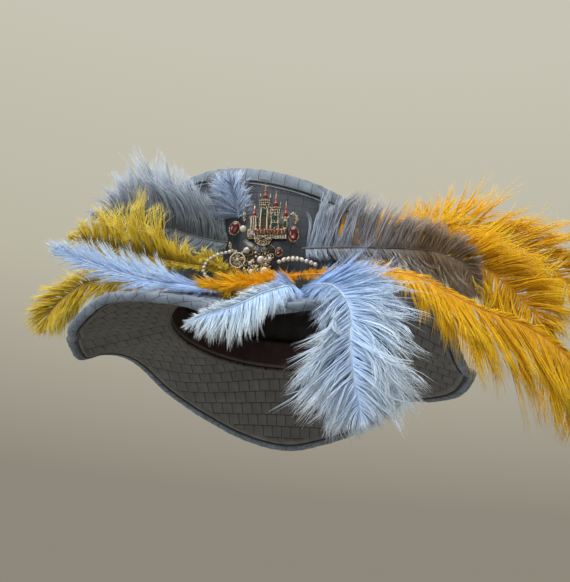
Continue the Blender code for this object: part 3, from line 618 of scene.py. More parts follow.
def quilted_cloth(name, light, dark, line, line_width):
    """Woven cloth with soft blotches, darker in its stitch lines, and a fine thread relief."""
    material, tree, shader = new_material(name, 0.82)
    cloth = colour_ramp(tree, ((0.3, dark), (0.7, light)), noise(tree, 60, 4))
    speckle = colour_ramp(tree, ((0.35, 0.72), (0.65, 1)), noise(tree, 900, 2))
    cloth = mix(tree, "MULTIPLY", 0.7, cloth, speckle)
    lines = brick_lines(tree, line_width)
    weave = bump(tree, noise(tree, 1800, 2), 0.35, 0.4 * MM)
    bricks = new_node(tree, "Invert", {"Color": lines}).outputs["Color"]
    set_inputs(tree, shader, {
        "Base Color": mix(tree, "MIX", lines, cloth, line),
        "Sheen Weight": 0.04,
        "Normal": bump(tree, bricks, 0.6, 0.6 * MM, weave),
    })
    return material


def plain_cloth(name, light, dark, roughness, grain, relief):
    material, tree, shader = speckled(name, ((0.35, dark), (0.65, light)), 120, 4, roughness)
    set_inputs(tree, shader, {"Normal": bump(tree, noise(tree, grain, 2), relief, 0.3 * MM)})
    return material


def feather(name, dye):
    """Colour from the root of each barb to its tip, with its wisp's tone and place."""
    material, tree, shader = new_material(name, 0.6)
    barb = tree.nodes.new("ShaderNodeAttribute")
    barb.attribute_name = "barb"
    parts = new_node(tree, "SeparateColor", {"Color": barb.outputs["Color"]})
    along, tone, place = (parts.outputs[part] for part in ("Red", "Green", "Blue"))
    colour = colour_ramp(tree, ((0.0, dye.root), (0.45, dye.middle), (1.0, dye.tip)), along)
    nearness = colour_ramp(tree, ((0.08, 0.85), (0.5, 0)), place)
    colour = mix(tree, "MIX", nearness, colour, dye.near)
    # Wisps of low tone, picked at random, take the dark colour: painted shade between the wisps.
    shade = colour_ramp(tree, ((0.0, 1), (0.55, 0.12), (1.0, 0)), tone)
    colour = mix(tree, "MIX", shade, colour, dye.dark)
    flecks = colour_ramp(tree, ((0.3, 0.86), (0.7, 1)), noise(tree, 350, 2))
    colour = mix(tree, "MULTIPLY", 0.6, colour, flecks)
    far = colour_ramp(tree, ((0.5, 1), (1.0, (0.82, 0.81, 0.83))), place)
    set_inputs(tree, shader, {
        "Base Color": mix(tree, "MULTIPLY", 1.0, colour, far),
        "Specular IOR Level": 0.15,
        "Sheen Weight": 0.35,
        "Sheen Tint": dye.tip,
        "Normal": bump(tree, noise(tree, 2500, 1), 0.3, 0.2 * MM),
    })
    return material


class Brim:
    """The brim's middle surface, from the opening over its shoulder and out to its rim."""

    def __init__(self):
        degrees = turns(BRIM_POINTS)
        self.opening = on_ellipse(OPENING, degrees, -BRIM_HALF)
        self.shoulder = on_ellipse(OPENING, degrees, -BRIM_HALF, BRIM_SHOULDER)
        self.rim = rim_at(degrees)
        self.reach = np.linalg.norm(self.rim - self.shoulder, axis=1, keepdims=True)
        self.along = (self.rim - self.shoulder) / self.reach
        around = unit(np.stack((-self.rim[:, 1], self.rim[:, 0], np.zeros(BRIM_POINTS)), -1))
        up = unit(np.cross(self.along, around))
        self.up = up * np.sign(up[:, 2:3])
        self.outward = unit(self.along[:, :2])

    def flat_at(self, distance):
        """Where points of the cloth lie when it is spread flat."""
        return self.shoulder[:, :2] + self.outward * distance

    def upwards_at(self, share):
        return unit(UP * (1 - ease(0, 0.1, share)) + self.up * ease(0, 0.1, share))

    def add_top(self, loft):
        for share in (0.0, 0.5):
            points = self.opening + (self.shoulder - self.opening) * share + UP * BRIM_HALF
            loft.ring(points, 0, self.flat_at(-BRIM_SHOULDER * (1 - share)))
        for i in range(BRIM_RINGS):
            share = i / BRIM_RINGS
            height = BRIM_HALF + (ROLL_RADIUS - BRIM_HALF) * ease(0.9, 1.0, share)
            direction = self.upwards_at(share)
            points = self.shoulder + self.along * self.reach * share + direction * height
            fade = float(ease(0, 0.05, share))
            loft.ring(points, 0, self.flat_at(self.reach * share), direction, BRIM_QUILT, fade)

    def add_edge(self, loft):
        """The padded roll, and the flat band under it."""
        for angle in np.linspace(90, ROLL_END, ROLL_RINGS):
            turn = math.radians(angle)
            direction = self.along * math.cos(turn) + self.up * math.sin(turn)
            flat = self.flat_at(self.reach + ROLL_RADIUS * math.radians(90 - angle))
            loft.ring(self.rim + direction * ROLL_RADIUS, 0, flat, direction, BRIM_QUILT, 0.7)
        for inward, down in EDGE_BAND:
            points = self.rim - self.along * inward * MM - self.up * down * MM
            loft.ring(points, 1, self.flat_at(self.reach - inward * MM))

    def add_underside(self, loft):
        for i in range(UNDER_RINGS + 1):
            share = 1 - i / UNDER_RINGS
            distance = (self.reach - EDGE_BAND_END) * share
            direction = self.upwards_at(share)
            points = self.shoulder + self.along * distance - direction * BRIM_HALF
            fade = float(ease(0, 0.05, share) * (0.4 + 0.6 * ease(0, 0.03, 1 - share)))
            flat = self.flat_at(distance) * UNDER_SCALE
            loft.ring(points, 2, flat, -direction, BRIM_QUILT, fade)
        loft.ring(self.opening - UP * BRIM_HALF, 2, self.flat_at(-BRIM_SHOULDER))


def add_brim(cloth, under, band):
    """The quilted brim; returns the path of the cord that closes its underside's edge."""
    brim = Brim()
    loft = Loft()
    brim.add_top(loft)
    brim.add_edge(loft)
    brim.add_underside(loft)
    mesh = loft.build("quilted_brim", BRIM_QUILT)
    as_object(mesh, (cloth, band, under), "brim_cloth", "brim", "brim_roll")
    return brim.rim - brim.along * BINDING_IN - brim.up * BINDING_DOWN


def tube_mesh(name, path, radii, sides, closed):
    """A round tube along a path of points, with capped or joined ends."""
    path = np.asarray(path)
    if closed:
        tangent = unit(np.roll(path, -1, 0) - np.roll(path, 1, 0))
    else:
        tangent = unit(np.gradient(path, axis=0))
    across = unit(np.cross(tangent, TUBE_GUIDE))
    over = np.cross(tangent, across)
    angle = (np.arange(sides) * 2 * math.pi / sides)[None, :, None]
    radii = np.broadcast_to(radii, (len(path),))[:, None, None]
    points = path[:, None] + (across[:, None] * np.cos(angle) + over[:, None] * np.sin(angle)) * radii
    faces = ring_faces(len(path), sides, closed)
    mesh = mesh_from(name, points.reshape(-1, 3), (faces,))
    if not closed:
        form = bmesh.new()
        form.from_mesh(mesh)
        open_edges = [edge for edge in form.edges if edge.is_boundary]
        bmesh.ops.holes_fill(form, edges=open_edges)
        bmesh.ops.recalc_face_normals(form, faces=form.faces)
        form.to_mesh(mesh)
        form.free()
    return mesh


def add_crown(cloth, tip_cloth, lining):
    """The crown's quilted side with its lining, and the padded top that closes it."""
    degrees = turns(CROWN_POINTS)
    foot = on_ellipse(CROWN_BASE, degrees, 0.3 * MM)
    top = seam_at(degrees, -0.6 * MM)
    outward = unit(on_ellipse(CROWN_BASE, degrees, 0.0))
    around = np.cumsum(np.linalg.norm(np.roll(top, -1, 0) - top, axis=1))
    tall = np.linalg.norm(top - foot, axis=1)
    loft = Loft()
    for i in range(CROWN_RINGS + 1):
        share = i / CROWN_RINGS
        flat = np.stack((around, tall * share), -1)
        fade = 0.3 + 0.7 * float(ease(0, 0.04, share) * ease(0, 0.04, 1 - share))
        loft.ring(foot + (top - foot) * share, 0, flat, outward, SIDE_QUILT, fade)
    for share in (1.0, 0.66, 0.33, 0.0):
        flat = np.stack((around, tall * share), -1)
        loft.ring(foot + (top - foot) * share - outward * CROWN_WALL, 1, flat)
    as_object(loft.build("crown_side_cloth", SIDE_QUILT), (cloth, lining), "crown_cloth", "crown_side")
    add_crown_tip(degrees, tip_cloth, lining)


def tip_ring(degrees, reach, drop=0.0):
    """A ring of the domed top, from its edge at reach 1 to its middle at 0."""
    edge = seam_at(degrees)
    rise = TIP_EDGE + (TIP_RISE - TIP_EDGE) * math.sqrt(max(1 - reach**4, 0))
    x, y = edge[:, 0] * reach, edge[:, 1] * reach
    return np.stack((x, y, SEAM_HEIGHT + SEAM_LEAN * x + rise - drop), -1)


def add_crown_tip(degrees, cloth, lining):
    """The padded, domed top, quilted above and lined below."""
    loft = Loft()
    outward = unit(on_ellipse(CROWN_SEAM, degrees, 0.0))
    for rise in (0.1, 0.9, 1.7):
        flat = seam_at(degrees)[:, :2] + TIP_SHIFT
        loft.ring(seam_at(degrees, rise * MM), 0, flat, outward, TIP_QUILT, 0.5)
    for reach in np.sin(np.linspace(math.pi / 2, 0.0, CROWN_RINGS)):
        ring = tip_ring(degrees, reach)
        lean = float(ease(0.8, 1.0, reach))
        direction = unit(outward * lean * 0.8 + UP * (1.05 - lean * 0.6))
        loft.ring(ring, 0, ring[:, :2] + TIP_SHIFT, direction, TIP_QUILT)
    for reach in (0.0, 0.3, 0.55, 0.75, 0.88, 0.94):
        loft.ring(tip_ring(degrees, reach, TIP_PADDING), 1)
    loft.ring(seam_at(degrees, 0.1 * MM, -TIP_PADDING), 1)
    mesh = loft.build("crown_tip_cloth", TIP_QUILT)
    close_middle(mesh)
    tip = as_object(mesh, (cloth, lining), "tip_cloth", "crown_tip")


def close_middle(mesh):
    """Joins the points of each innermost ring into one."""
    form = bmesh.new()
    form.from_mesh(mesh)
    bmesh.ops.remove_doubles(form, verts=form.verts, dist=0.001 * MM)
    loose = [edge for edge in form.edges if not edge.link_faces]
    bmesh.ops.delete(form, geom=loose, context="EDGES")
    form.to_mesh(mesh)
    form.free()


def add_trims(binding_path, black, leather, thread):
    """The cords at the crown's seam and the brim's edge, the stitches and the band inside."""
    degrees = turns(CROWN_POINTS)
    piping_path = seam_at(degrees, -0.2 * MM, PIPING_RADIUS + 0.3 * MM)
    piping = tube_mesh("crown_piping", piping_path, PIPING_RADIUS, 10, True)
    as_object(piping, (black,), "piping_black", "tip_piping")
    binding = tube_mesh("edge_binding", binding_path, BINDING_RADIUS, 8, True)
    as_object(binding, (black,), "piping_black", "brim_binding")
    cord = tube_mesh("seam_cord", seam_at(degrees, -2.3 * MM, CORD_OUT), CORD_RADIUS, 8, True)
    as_object(cord, (thread,), "crown_cloth")
    add_seam_stitches(thread)
    add_sweatband(leather)


def add_seam_stitches(thread):
    """A row of pale stitches on the crown's side, just under its piping."""
    rng = np.random.default_rng(5)
    points, faces = [], []
    for i in range(STITCHES):
        start = -180 + 360 * i / STITCHES
        ends = np.array((start, start + STITCH_SHARE * 360 / STITCHES))
        line = seam_at(ends, -3.7 * MM + rng.normal(0, 0.1) * MM, CORD_OUT)
        add_thread(points, faces, line[0], line[1], STITCH_RADIUS)
    mesh = mesh_from("seam_stitches", np.array(points), (np.array(faces),))
    as_object(mesh, (thread,), "crown_cloth")


def add_thread(points, faces, start, end, radius):
    """A short four-sided stitch that is pointed at both ends."""
    along = unit(end - start)
    side = unit(np.cross(along, UP))
    over = np.cross(along, side)
    base = len(points)
    middle = (start + end) / 2
    ring = [middle + radius * (side * c + over * s) for c, s in ((1, 0), (0, 1), (-1, 0), (0, -1))]
    points.extend([start, *ring, end])
    for i in range(4):
        j = (i + 1) % 4
        faces.append((base, base + 1 + i, base + 1 + j))
        faces.append((base + 5, base + 1 + j, base + 1 + i))


def add_sweatband(leather):
    """The ribbed, slightly uneven band inside the opening."""
    degrees = turns(CROWN_POINTS)
    phase = np.random.default_rng(11).uniform(0, 2 * math.pi, 4)
    angle = np.radians(degrees)
    sway = sum(np.sin(angle * k + p) for k, p in zip((5, 9, 14, 23), phase)) * 0.12 * MM
    loft = Loft()
    for ends, side in (((0, 1), BAND_OUT - BAND_RIB), ((1, 0), BAND_OUT - BAND_THICKNESS)):
        for share in np.linspace(*ends, 9):
            rib = BAND_RIB * math.sin(share * 8 * math.pi)
            ring = on_ellipse(OPENING, degrees, BAND_FOOT + BAND_HEIGHT * share, side + rib)
            ring[:, 2] += sway * share
            loft.ring(ring, 0)
    mesh = loft.build("sweatband_leather", BRIM_QUILT)
    as_object(mesh, (leather,), "sweatband_brown", "sweatband")


def quill_frames(plume, at):
    """Points of the quill at places from 0 to 1, the directions along it and to its upper
    barbs, and how far the barbs reach there on its two sides."""
    table = np.array(plume.stations, float)
    middle, reach = table[:, :3], table[:, 3:]
    last = len(middle) - 1
    place = at * last
    here = smooth(middle, place)
    ahead = smooth(middle, np.minimum(place + 0.05, last))
    behind = smooth(middle, np.maximum(place - 0.05, 0))
    along = unit(ahead - behind)
    root, tip = np.array(plume.side_root, float), np.array(plume.side_tip, float)
    side = root + (tip - root) * at[:, None]
    side = unit(side - (side * along).sum(1, keepdims=True) * along)
    return here * MM, along, side, np.maximum(smooth(reach, place), 1.5) * MM


def barb_directions(plume, at, along, side, over, steps, varied):
    """Which way each barb points along its length: swept towards the quill's tip, lifted, curled
    and drooping."""
    lean = plume.lean * (ROOT_LEAN + (1 - ROOT_LEAN) * ease(0, 0.35, at)) + varied(6, 2.5)
    lean = lean + (TIP_LEAN - plume.lean) * ease(0.86, 1.0, at)
    turn = np.radians(
        lean[:, None]
        + (plume.bend + varied(8, 3))[:, None] * steps
        + varied(plume.curl, plume.curl * 0.3)[:, None] * steps**2.5
    )
    lift = np.radians(
        varied(50 * plume.fluff, 25 * plume.fluff)[:, None] * (0.4 + 0.6 * steps)
        + varied(plume.curl * 0.6, plume.curl * 0.2)[:, None] * steps**2.5
    )
    direction = (
        (np.cos(turn) * np.cos(lift))[..., None] * side[:, None]
        + (np.sin(turn) * np.cos(lift))[..., None] * along[:, None]
        + np.sin(lift)[..., None] * over[:, None]
    )
    direction[..., 2] -= plume.droop * steps
    return unit(direction)


def barb_paths(plume, way, column, count, rng):
    """Curved paths of the barbs on one side of the quill, gathered into wisps that each have
    their own length, sweep and curl.

    Returns the paths, their across directions, and each barb's tone and place on the quill."""
    at = np.sort(rng.uniform(0.02, 1.0, count))
    here, along, side, reach = quill_frames(plume, at)
    side = side * way
    over = np.cross(along, side)
    wisps = max(int(plume.clumps * count / plume.barbs), 3)
    guides = np.sort(rng.choice(count, wisps, replace=False))
    wisp = np.abs(at[:, None] - at[guides][None]).argmin(1)

    def varied(of_wisps, of_barbs):
        return rng.normal(0, of_wisps, wisps)[wisp] + rng.normal(0, of_barbs, count)

    is_stray = rng.uniform(size=wisps) < STRAY_SHARE * plume.fluff
    stray = np.where(is_stray, rng.uniform(*STRAY_LENGTH, wisps), 1.0)
    share = (rng.uniform(0.74, 1.0, wisps) * stray)[wisp] * rng.uniform(0.82, 1.0, count)
    swept = math.cos(math.radians(plume.lean + plume.bend / 2))
    length = reach[:, column] * share / swept
    steps = np.linspace(0, 1, BARB_STEPS + 1)[None, :]
    direction = barb_directions(plume, at, along, side, over, steps, varied)
    stride = (direction[:, 1:] + direction[:, :-1]) / 2 * (length / BARB_STEPS)[:, None, None]
    path = np.concatenate((here[:, None], here[:, None] + np.cumsum(stride, 1)), 1)
    pull = (rng.uniform(0.25, 0.8, wisps)[wisp][:, None] * steps**1.3)[..., None]
    path = path + (path[guides[wisp]] - path) * pull
    path = path + rng.normal(0, FRAY, (count, 1, 3)) * (steps**2)[..., None]
    path[..., 1] = np.maximum(path[..., 1], FRONT_LIMIT)
    # Each wisp's tone, at random; low tones carry the painted shade of the dark strands.
    tone = np.clip(varied(0.17, 0.11) + 0.64, 0, 1)
    return path, over, tone, at


def barb_blades(path, over, tone, at, width, rng):
    """A thin three-sided blade along each path, as points, quads and values for the colour."""
    count, rings = path.shape[:2]
    tangent = unit(np.gradient(path, axis=1))
    twist = rng.normal(0, 0.5, count)[:, None, None]
    spread = unit(np.cross(tangent, over[:, None] + twist * tangent[:, :1]))
    face = np.cross(spread, tangent)
    steps = np.linspace(0, 1, rings)
    taper = (0.65 + 0.35 * np.sin(np.pi * steps)) * (1 - 0.93 * steps**2.2)
    wide = (width * rng.uniform(0.7, 1.25, count))[:, None] * taper[None]
    half = spread * (wide / 2)[..., None]
    crest = face * (BARB_DEPTH * taper)[None, :, None]
    points = np.stack((path - half, path + half, path + crest), 2)
    index = np.arange(count * rings * 3).reshape(count, rings, 3)
    lower, upper = index[:, :-1], index[:, 1:]
    quads = np.stack((lower, np.roll(lower, -1, 2), np.roll(upper, -1, 2), upper), -1).reshape(-1, 4)
    values = np.stack(np.broadcast_arrays(
        steps[None, :, None], tone[:, None, None], at[:, None, None], np.ones((count, rings, 3))
    ), -1)
    caps = np.concatenate((index[:, 0, ::-1], index[:, -1]))
    return points.reshape(-1, 3), quads, caps, values.reshape(-1, 4)


def add_plume(number, plume, materials):
    """One dyed plume: the barbs on both sides of its quill as one mesh, and the quill as a tube of its
    own.
    """
    rng = np.random.default_rng(100 + number)
    slot_name = DYES[plume.dye].slot
    reach = np.array(plume.stations, float)[:, 3:].mean(0)
    share = math.sqrt(reach[0]) / (math.sqrt(reach[0]) + math.sqrt(reach[1]))
    counts = (int(plume.barbs * share), int(plume.barbs * (1 - share)))
    width = BARB_WIDTH * (0.55 + 0.45 * min(reach.max() / 32, 1))
    sides = []
    base = 0
    for column, way in enumerate((1, -1)):
        paths = barb_paths(plume, way, column, counts[column], rng)
        points, quads, caps, values = barb_blades(*paths, width, rng)
        sides.append((points, quads + base, caps + base, values))
        base += len(points)
    points, quads, caps, values = (np.concatenate(part) for part in zip(*sides))
    mesh = mesh_from(plume.name + "_barbs", points, (quads, caps), rounded=False)
    colours = mesh.attributes.new("barb", "FLOAT_COLOR", "POINT")
    colours.data.foreach_set("color", values.astype(np.float32).ravel())
    as_object(mesh, (materials[plume.dye],), slot_name, plume.name)
    place = np.linspace(0, 1, QUILL_STEPS)
    line = quill_frames(plume, place)[0]
    radii = QUILL_ROOT + (QUILL_TIP - QUILL_ROOT) * place
    quill = tube_mesh(plume.name + "_quill", line, radii, 8, False)
    as_object(quill, (materials[plume.dye + "_quill"],), slot_name)


def crown_front(x, z):
    """Y of the crown's outer surface at the front, at these places."""
    share = z / (SEAM_HEIGHT + SEAM_LEAN * x)
    half_x = CROWN_BASE[0] + (CROWN_SEAM[0] - CROWN_BASE[0]) * share
    half_y = CROWN_BASE[1] + (CROWN_SEAM[1] - CROWN_BASE[1]) * share
    return -half_y * np.sqrt(1 - (x / half_x) ** 2)


def add_patch(cloth):
    """The padded patch behind the cluster, quilted like the crown and soft at its edges."""
    left, right, bottom, top = PAD_BOX
    count = PAD_POINTS
    x, z = np.meshgrid(np.linspace(left, right, count), np.linspace(bottom, top, count))
    full = ease(0, PAD_SOFT[0], np.minimum(x - left, right - x))
    full = full * ease(0, PAD_SOFT[1], np.minimum(z - bottom, top - z))
    back = crown_front(x, z) + 0.5 * MM
    front = back + (PAD_FRONT + 0.25 * MM - back) * full
    flat = np.stack((x, z), -1)
    front = front - padding(SIDE_QUILT, flat) * 0.25 * full
    points = np.concatenate([
        np.stack((x, y, z), -1).reshape(-1, 3) for y in (front, back + 0.3 * MM)
    ])
    index = np.arange(count * count).reshape(count, count)
    corners = (index[:-1, :-1], index[:-1, 1:], index[1:, 1:], index[1:, :-1])
    faces = np.stack(corners, -1).reshape(-1, 4)
    loop = np.concatenate((index[0, :-1], index[:-1, -1], index[-1, :0:-1], index[:0:-1, 0]))
    following = np.roll(loop, -1)
    shift = count * count
    wall = np.stack((loop, loop + shift, following + shift, following), -1)
    groups = (faces, faces[:, ::-1] + shift, wall)
    uv = np.concatenate((flat, flat)).reshape(-1, 2) / MM / np.array((SIDE_QUILT.wide, SIDE_QUILT.high))
    mesh = mesh_from("padded_patch", points, groups, uv)
    as_object(mesh, (cloth,), "patch_felt", "plume_patch")


def round_turns(count):
    return [2 * math.pi * i / count for i in range(count)]


def on_oval(at, half_width, half_height, turn):
    """A point of an oval that faces outwards, by its turn from the right end in radians."""
    return (at[0] + half_width * math.cos(turn), at[1], at[2] + half_height * math.sin(turn))


class Jewel:
    """A jewel built up from small solids, in millimetres from its own place; -Y is outwards."""

    def __init__(self, x=0.0, depth=0.0, z=0.0, lean=0.0):
        turn = Matrix.Rotation(math.radians(lean), 4, "Y")
        self.form = bmesh.new()
        self.place = Matrix.Translation((x * MM, depth, z * MM)) @ turn @ Matrix.Scale(MM, 4)

    def finish_part(self, verts, kind, smooth):
        bmesh.ops.transform(self.form, matrix=self.place, verts=verts)
        for face in {face for vert in verts for face in vert.link_faces}:
            face.material_index = JEWEL_KINDS.index(kind)
            face.smooth = smooth

    def skin(self, kind, rings, smooth=False, closed=False, facets=False):
        """Faces between rings of points, which are joined in a loop or capped at both ends."""
        rings = [[self.form.verts.new(point) for point in ring] for ring in rings]
        new_face = self.form.faces.new
        for low, high in list(zip(rings, rings[1:])) + ([(rings[-1], rings[0])] if closed else []):
            for i, (here, above) in enumerate(zip(low, high)):
                beside, across = low[(i + 1) % len(low)], high[(i + 1) % len(low)]
                if facets:
                    new_face((here, beside, above))
                    new_face((beside, across, above))
                else:
                    new_face((here, beside, across, above))
        if not closed:
            new_face(rings[0][::-1])
            new_face(rings[-1])
        self.finish_part([vert for ring in rings for vert in ring], kind, smooth)

    def sphere(self, kind, matrix, radius, columns, rings):
        made = bmesh.ops.create_uvsphere(
            self.form, u_segments=columns, v_segments=rings, radius=radius, matrix=matrix
        )
        self.finish_part(made["verts"], kind, True)

    def ball(self, kind, at, radius, sides=10):
        self.sphere(kind, Matrix.Translation(at), radius, sides, max(sides * 2 // 3, 4))

    def dome(self, kind, at, half_width, half_height, depth):
        """A smooth oval stone, half sunk at its place."""
        size = Matrix.Diagonal((half_width, depth, half_height, 1))
        self.sphere(kind, Matrix.Translation(at) @ size, 1, 24, 14)

    def block(self, kind, at, width, depth, height):
        """A softly edged block standing at a place, its back on the plane of that place."""
        place = Matrix.Translation((at[0], at[1] - depth / 2, at[2] + height / 2))
        scale = Matrix.Diagonal((width, depth, height, 1))
        made = bmesh.ops.create_cube(self.form, size=1, matrix=place @ scale)
        edges = list({edge for vert in made["verts"] for edge in vert.link_edges})
        bevel = bmesh.ops.bevel(
            self.form, geom=edges, offset=BLOCK_BEVEL, segments=1, affect="EDGES"
        )
        self.finish_part(list({v for face in bevel["faces"] for v in face.verts}), kind, False)

    def cone(self, kind, at, low, high, height, sides=14):
        place = Matrix.Translation((at[0], at[1], at[2] + height / 2))
        made = bmesh.ops.create_cone(
            self.form, cap_ends=True, segments=sides, radius1=low, radius2=high, depth=height,
            matrix=place,
        )
        self.finish_part(made["verts"], kind, True)

    def gem(self, kind, at, half_width, half_height, depth, sides=10):
        """A cut stone facing outwards: a girdle, two rings of facets and a flat table."""
        rings = []
        for number, (reach, out) in enumerate(GEM_LEVELS):
            middle = (at[0], at[1] - depth * out, at[2])
            rings.append([
                on_oval(middle, half_width * reach, half_height * reach,
                        2 * math.pi * (i + 0.5 * number) / sides)
                for i in range(sides)
            ])
        self.skin(kind, rings, facets=True)

    def baguette(self, kind, at, half_width, half_height, depth):
        """A square-cut stone facing outwards, in a thin gold frame."""

        def square(reach, out):
            wide, high = half_width * reach, half_height * reach
            return [(at[0] + wide * x, at[1] - depth * out, at[2] + high * z) for x, z in SQUARE]

        self.skin(kind, [square(reach, out) for reach, out in ((1.0, 0.0), (1.0, 0.4), (0.6, 1.0))])
        self.wire("gold", square(1, 0.35), 0.24, closed=True)

    def wire(self, kind, points, radius, closed=False, sides=6):
        """A round wire through these points."""
        count = len(points)
        rings = []
        for i, point in enumerate(points):
            before = Vector(points[(i - 1) % count if closed else max(i - 1, 0)])
            after = Vector(points[(i + 1) % count if closed else min(i + 1, count - 1)])
            along = (after - before).normalized()
            across = along.cross(WIRE_GUIDE).normalized()
            over = along.cross(across)
            rings.append([
                Vector(point) + radius * (across * math.cos(t) + over * math.sin(t))
                for t in round_turns(sides)
            ])
        self.skin(kind, rings, smooth=True, closed=closed)

    def oval(self, kind, at, half_width, half_height, radius, count=28):
        """A wire bent into an oval."""
        points = [on_oval(at, half_width, half_height, turn) for turn in round_turns(count)]
        self.wire(kind, points, radius, closed=True)

    def beads(self, kind, start, end, radius, pitch):
        """A straight row of small beads."""
        start, end = Vector(start), Vector(end)
        count = max(int((end - start).length / pitch), 1)
        for i in range(count + 1):
            self.ball(kind, start.lerp(end, i / count), radius, 6)

    def build(self, name, materials, slot_name, *nodes):
        bmesh.ops.recalc_face_normals(self.form, faces=self.form.faces)
        mesh = bpy.data.meshes.new(name)
        self.form.to_mesh(mesh)
        self.form.free()
        as_object(mesh, [materials[kind] for kind in JEWEL_KINDS], slot_name, *nodes)


def add_tower(castle, number, tower):
    """A tower's body with columns of stones, its battlements and pinnacles, and its roof."""
    depth = TOWER_DEPTH
    across, half = tower.across, tower.half
    # A near-black body: painted shade between the stones in front of it.
    castle.block("dark", (across, 0, 1), 2 * half - 0.5, depth - 0.3, tower.top - 2)
    for way in (-1, 1):
        castle.block("gold", (across + way * (half - 0.4), 0, 7.6), 0.8, depth, tower.top - 8.2)
    low = tower.top
    for tier in range(TIERS[number]):
        low = tower.top - 1.0 - 1.95 * tier
        add_battlement(castle, across, half + 0.5 - 0.12 * tier, depth + 0.5, low)
    columns = 2 if number == 1 else 3
    for i in range(columns):
        x = across + (half - 1.2) * (2 * i / (columns - 1) - 1)
        castle.beads("clear", (x, -depth + 0.1, 8.3), (x, -depth + 0.1, low - 1.0), 0.52, 1.12)
    for way in (-1, 1):
        x, y, z = across + way * (half + 0.15), -depth / 2 - 0.6, tower.top - 0.4
        castle.cone("gold", (x, y, z), 0.5, 0.22, PINNACLES[number], 8)
        castle.ball("clear", (x, y, z + PINNACLES[number]), 0.42, 8)
    add_roof(castle, tower)


def add_battlement(castle, across, half, depth, level):
    """A ledge with a row of stones under it and of small merlons on it."""
    castle.block("gold", (across, 0, level), 2 * half, depth, 0.5)
    count = max(int(2 * half / 1.25), 3)
    for i in range(count):
        x = across - half + 0.45 + (2 * half - 0.9) * i / (count - 1)
        castle.block("gold", (x, -depth + 0.7, level + 0.4), 0.62, 0.7, 0.85)
        castle.ball("clear", (x, -depth, level - 0.35), 0.42, 6)


def add_roof(castle, tower):
    """A pointed roof of red enamel with thin pale rings of painted highlight, and a long gold point."""
    base = min(tower.half, 2.0)
    foot = tower.top - 0.2

    def up_at(share, lower=0.0):
        return (tower.across, -TOWER_DEPTH / 2 - 0.3, foot + tower.roof * share - lower)

    castle.cone("red", up_at(0), base, base * 0.5, tower.roof * 0.5)
    # Thin pale rings round the roof: painted highlights.
    for share, wide in ((0.0, 1.0), (0.26, 0.76), (0.5, 0.56)):
        castle.cone("rose", up_at(share, 0.15), base * wide + 0.08, base * wide + 0.08, 0.36)
    castle.cone("gold", up_at(0.5), base * 0.45, 0.25, tower.roof * 0.46, 10)
    castle.ball("gold", up_at(0.97), 0.5, 8)


def add_castle(materials):
    """The castle: towers on a walled gallery, with a half-round fan under it."""
    castle = Jewel(CASTLE_FOOT[0], JEWEL_BACK, CASTLE_FOOT[1], CASTLE_LEAN)
    wide, deep, high = WALL
    # A near-black wall: painted shade between the stones on it.
    castle.block("dark", (0, 0, 0), wide, deep, high)
    for number, tower in enumerate(TOWERS):
        add_tower(castle, number, tower)
    add_gallery(castle, wide, deep)
    castle.block("gold", (CORNER, 0, 1), 6.2, 4.2, 6.6)
    castle.baguette("smoke", (CORNER, -4.2, 4.3), 1.5, 2.0, 0.9)
    for x in (CORNER - 2.5, CORNER + 2.5):
        castle.beads("clear", (x, -4.2, 1.8), (x, -4.2, 7.0), 0.45, 1.05)
    for window in WINDOWS:
        x, wide, high = TOWERS[window.tower].across, window.half_width, window.half_height
        # A near-black block behind each window: painted shade.
        castle.block("dark", (x, 0, window.z - high - 0.4), 2 * wide + 0.9, 3.75, 2 * high + 0.8)
        castle.baguette("green", (x, -3.5, window.z), wide, high, 1.0)
    add_fan(castle)
    castle.build("castle_setting", materials, "antique_gold", "castle_brooch")


def add_gallery(castle, wide, deep):
    """The band of red stones along the wall, with rows of clear stones below it."""
    long, out, tall, level = GALLERY
    castle.block("gold", (GALLERY_MIDDLE, 0, level - 0.3), long, out - 0.4, tall + 0.6)
    for i in range(GALLERY_STONES):
        x = GALLERY_MIDDLE + long * ((i + 0.5) / GALLERY_STONES - 0.5)
        at = (x, -out + 0.3, level + tall / 2)
        castle.baguette("red", at, long / GALLERY_STONES / 2 - 0.08, tall / 2 - 0.2, 0.9)
    end, front = wide / 2 - 0.8, -deep - 0.15
    for z in (0.7, 1.8, 2.9):
        castle.beads("clear", (-end, front, z), (end, front, z), 0.5, 1.15)


def add_fan(castle):
    """Half a wheel of ribs and beads below the gallery."""
    x, z, wide, high = FAN

    def on_fan(depth, reach, turn):
        return on_oval((x, -depth, z), wide * reach, -high * reach, turn)

    # A near-black disc: painted shade in the fan's openwork.
    castle.gem("dark", (x, 0, z), wide - 0.3, high - 0.3, 3.2, 20)
    turn = [math.pi * (-0.04 + 1.08 * i / 24) for i in range(25)]
    rim = [on_fan(3.4, 1, t) for t in turn]
    castle.wire("gold", rim, 0.5)
    castle.wire("gold", [rim[0], rim[-1]], 0.4)
    for t in turn[1::2]:
        castle.ball("clear", on_fan(3.9, 1, t), 0.36, 6)
    for i in range(1, 7):
        castle.wire("gold", [(x, -3.6, z), on_fan(3.4, 0.95, math.pi * i / 7)], 0.22)
    for i in range(7):
        castle.oval("gold", on_fan(3.5, 0.68, math.pi * (i + 0.5) / 7), 0.85, 0.95, 0.22, 12)
    castle.ball("gold", (x, -3.6, z - 0.3), 1.1, 10)


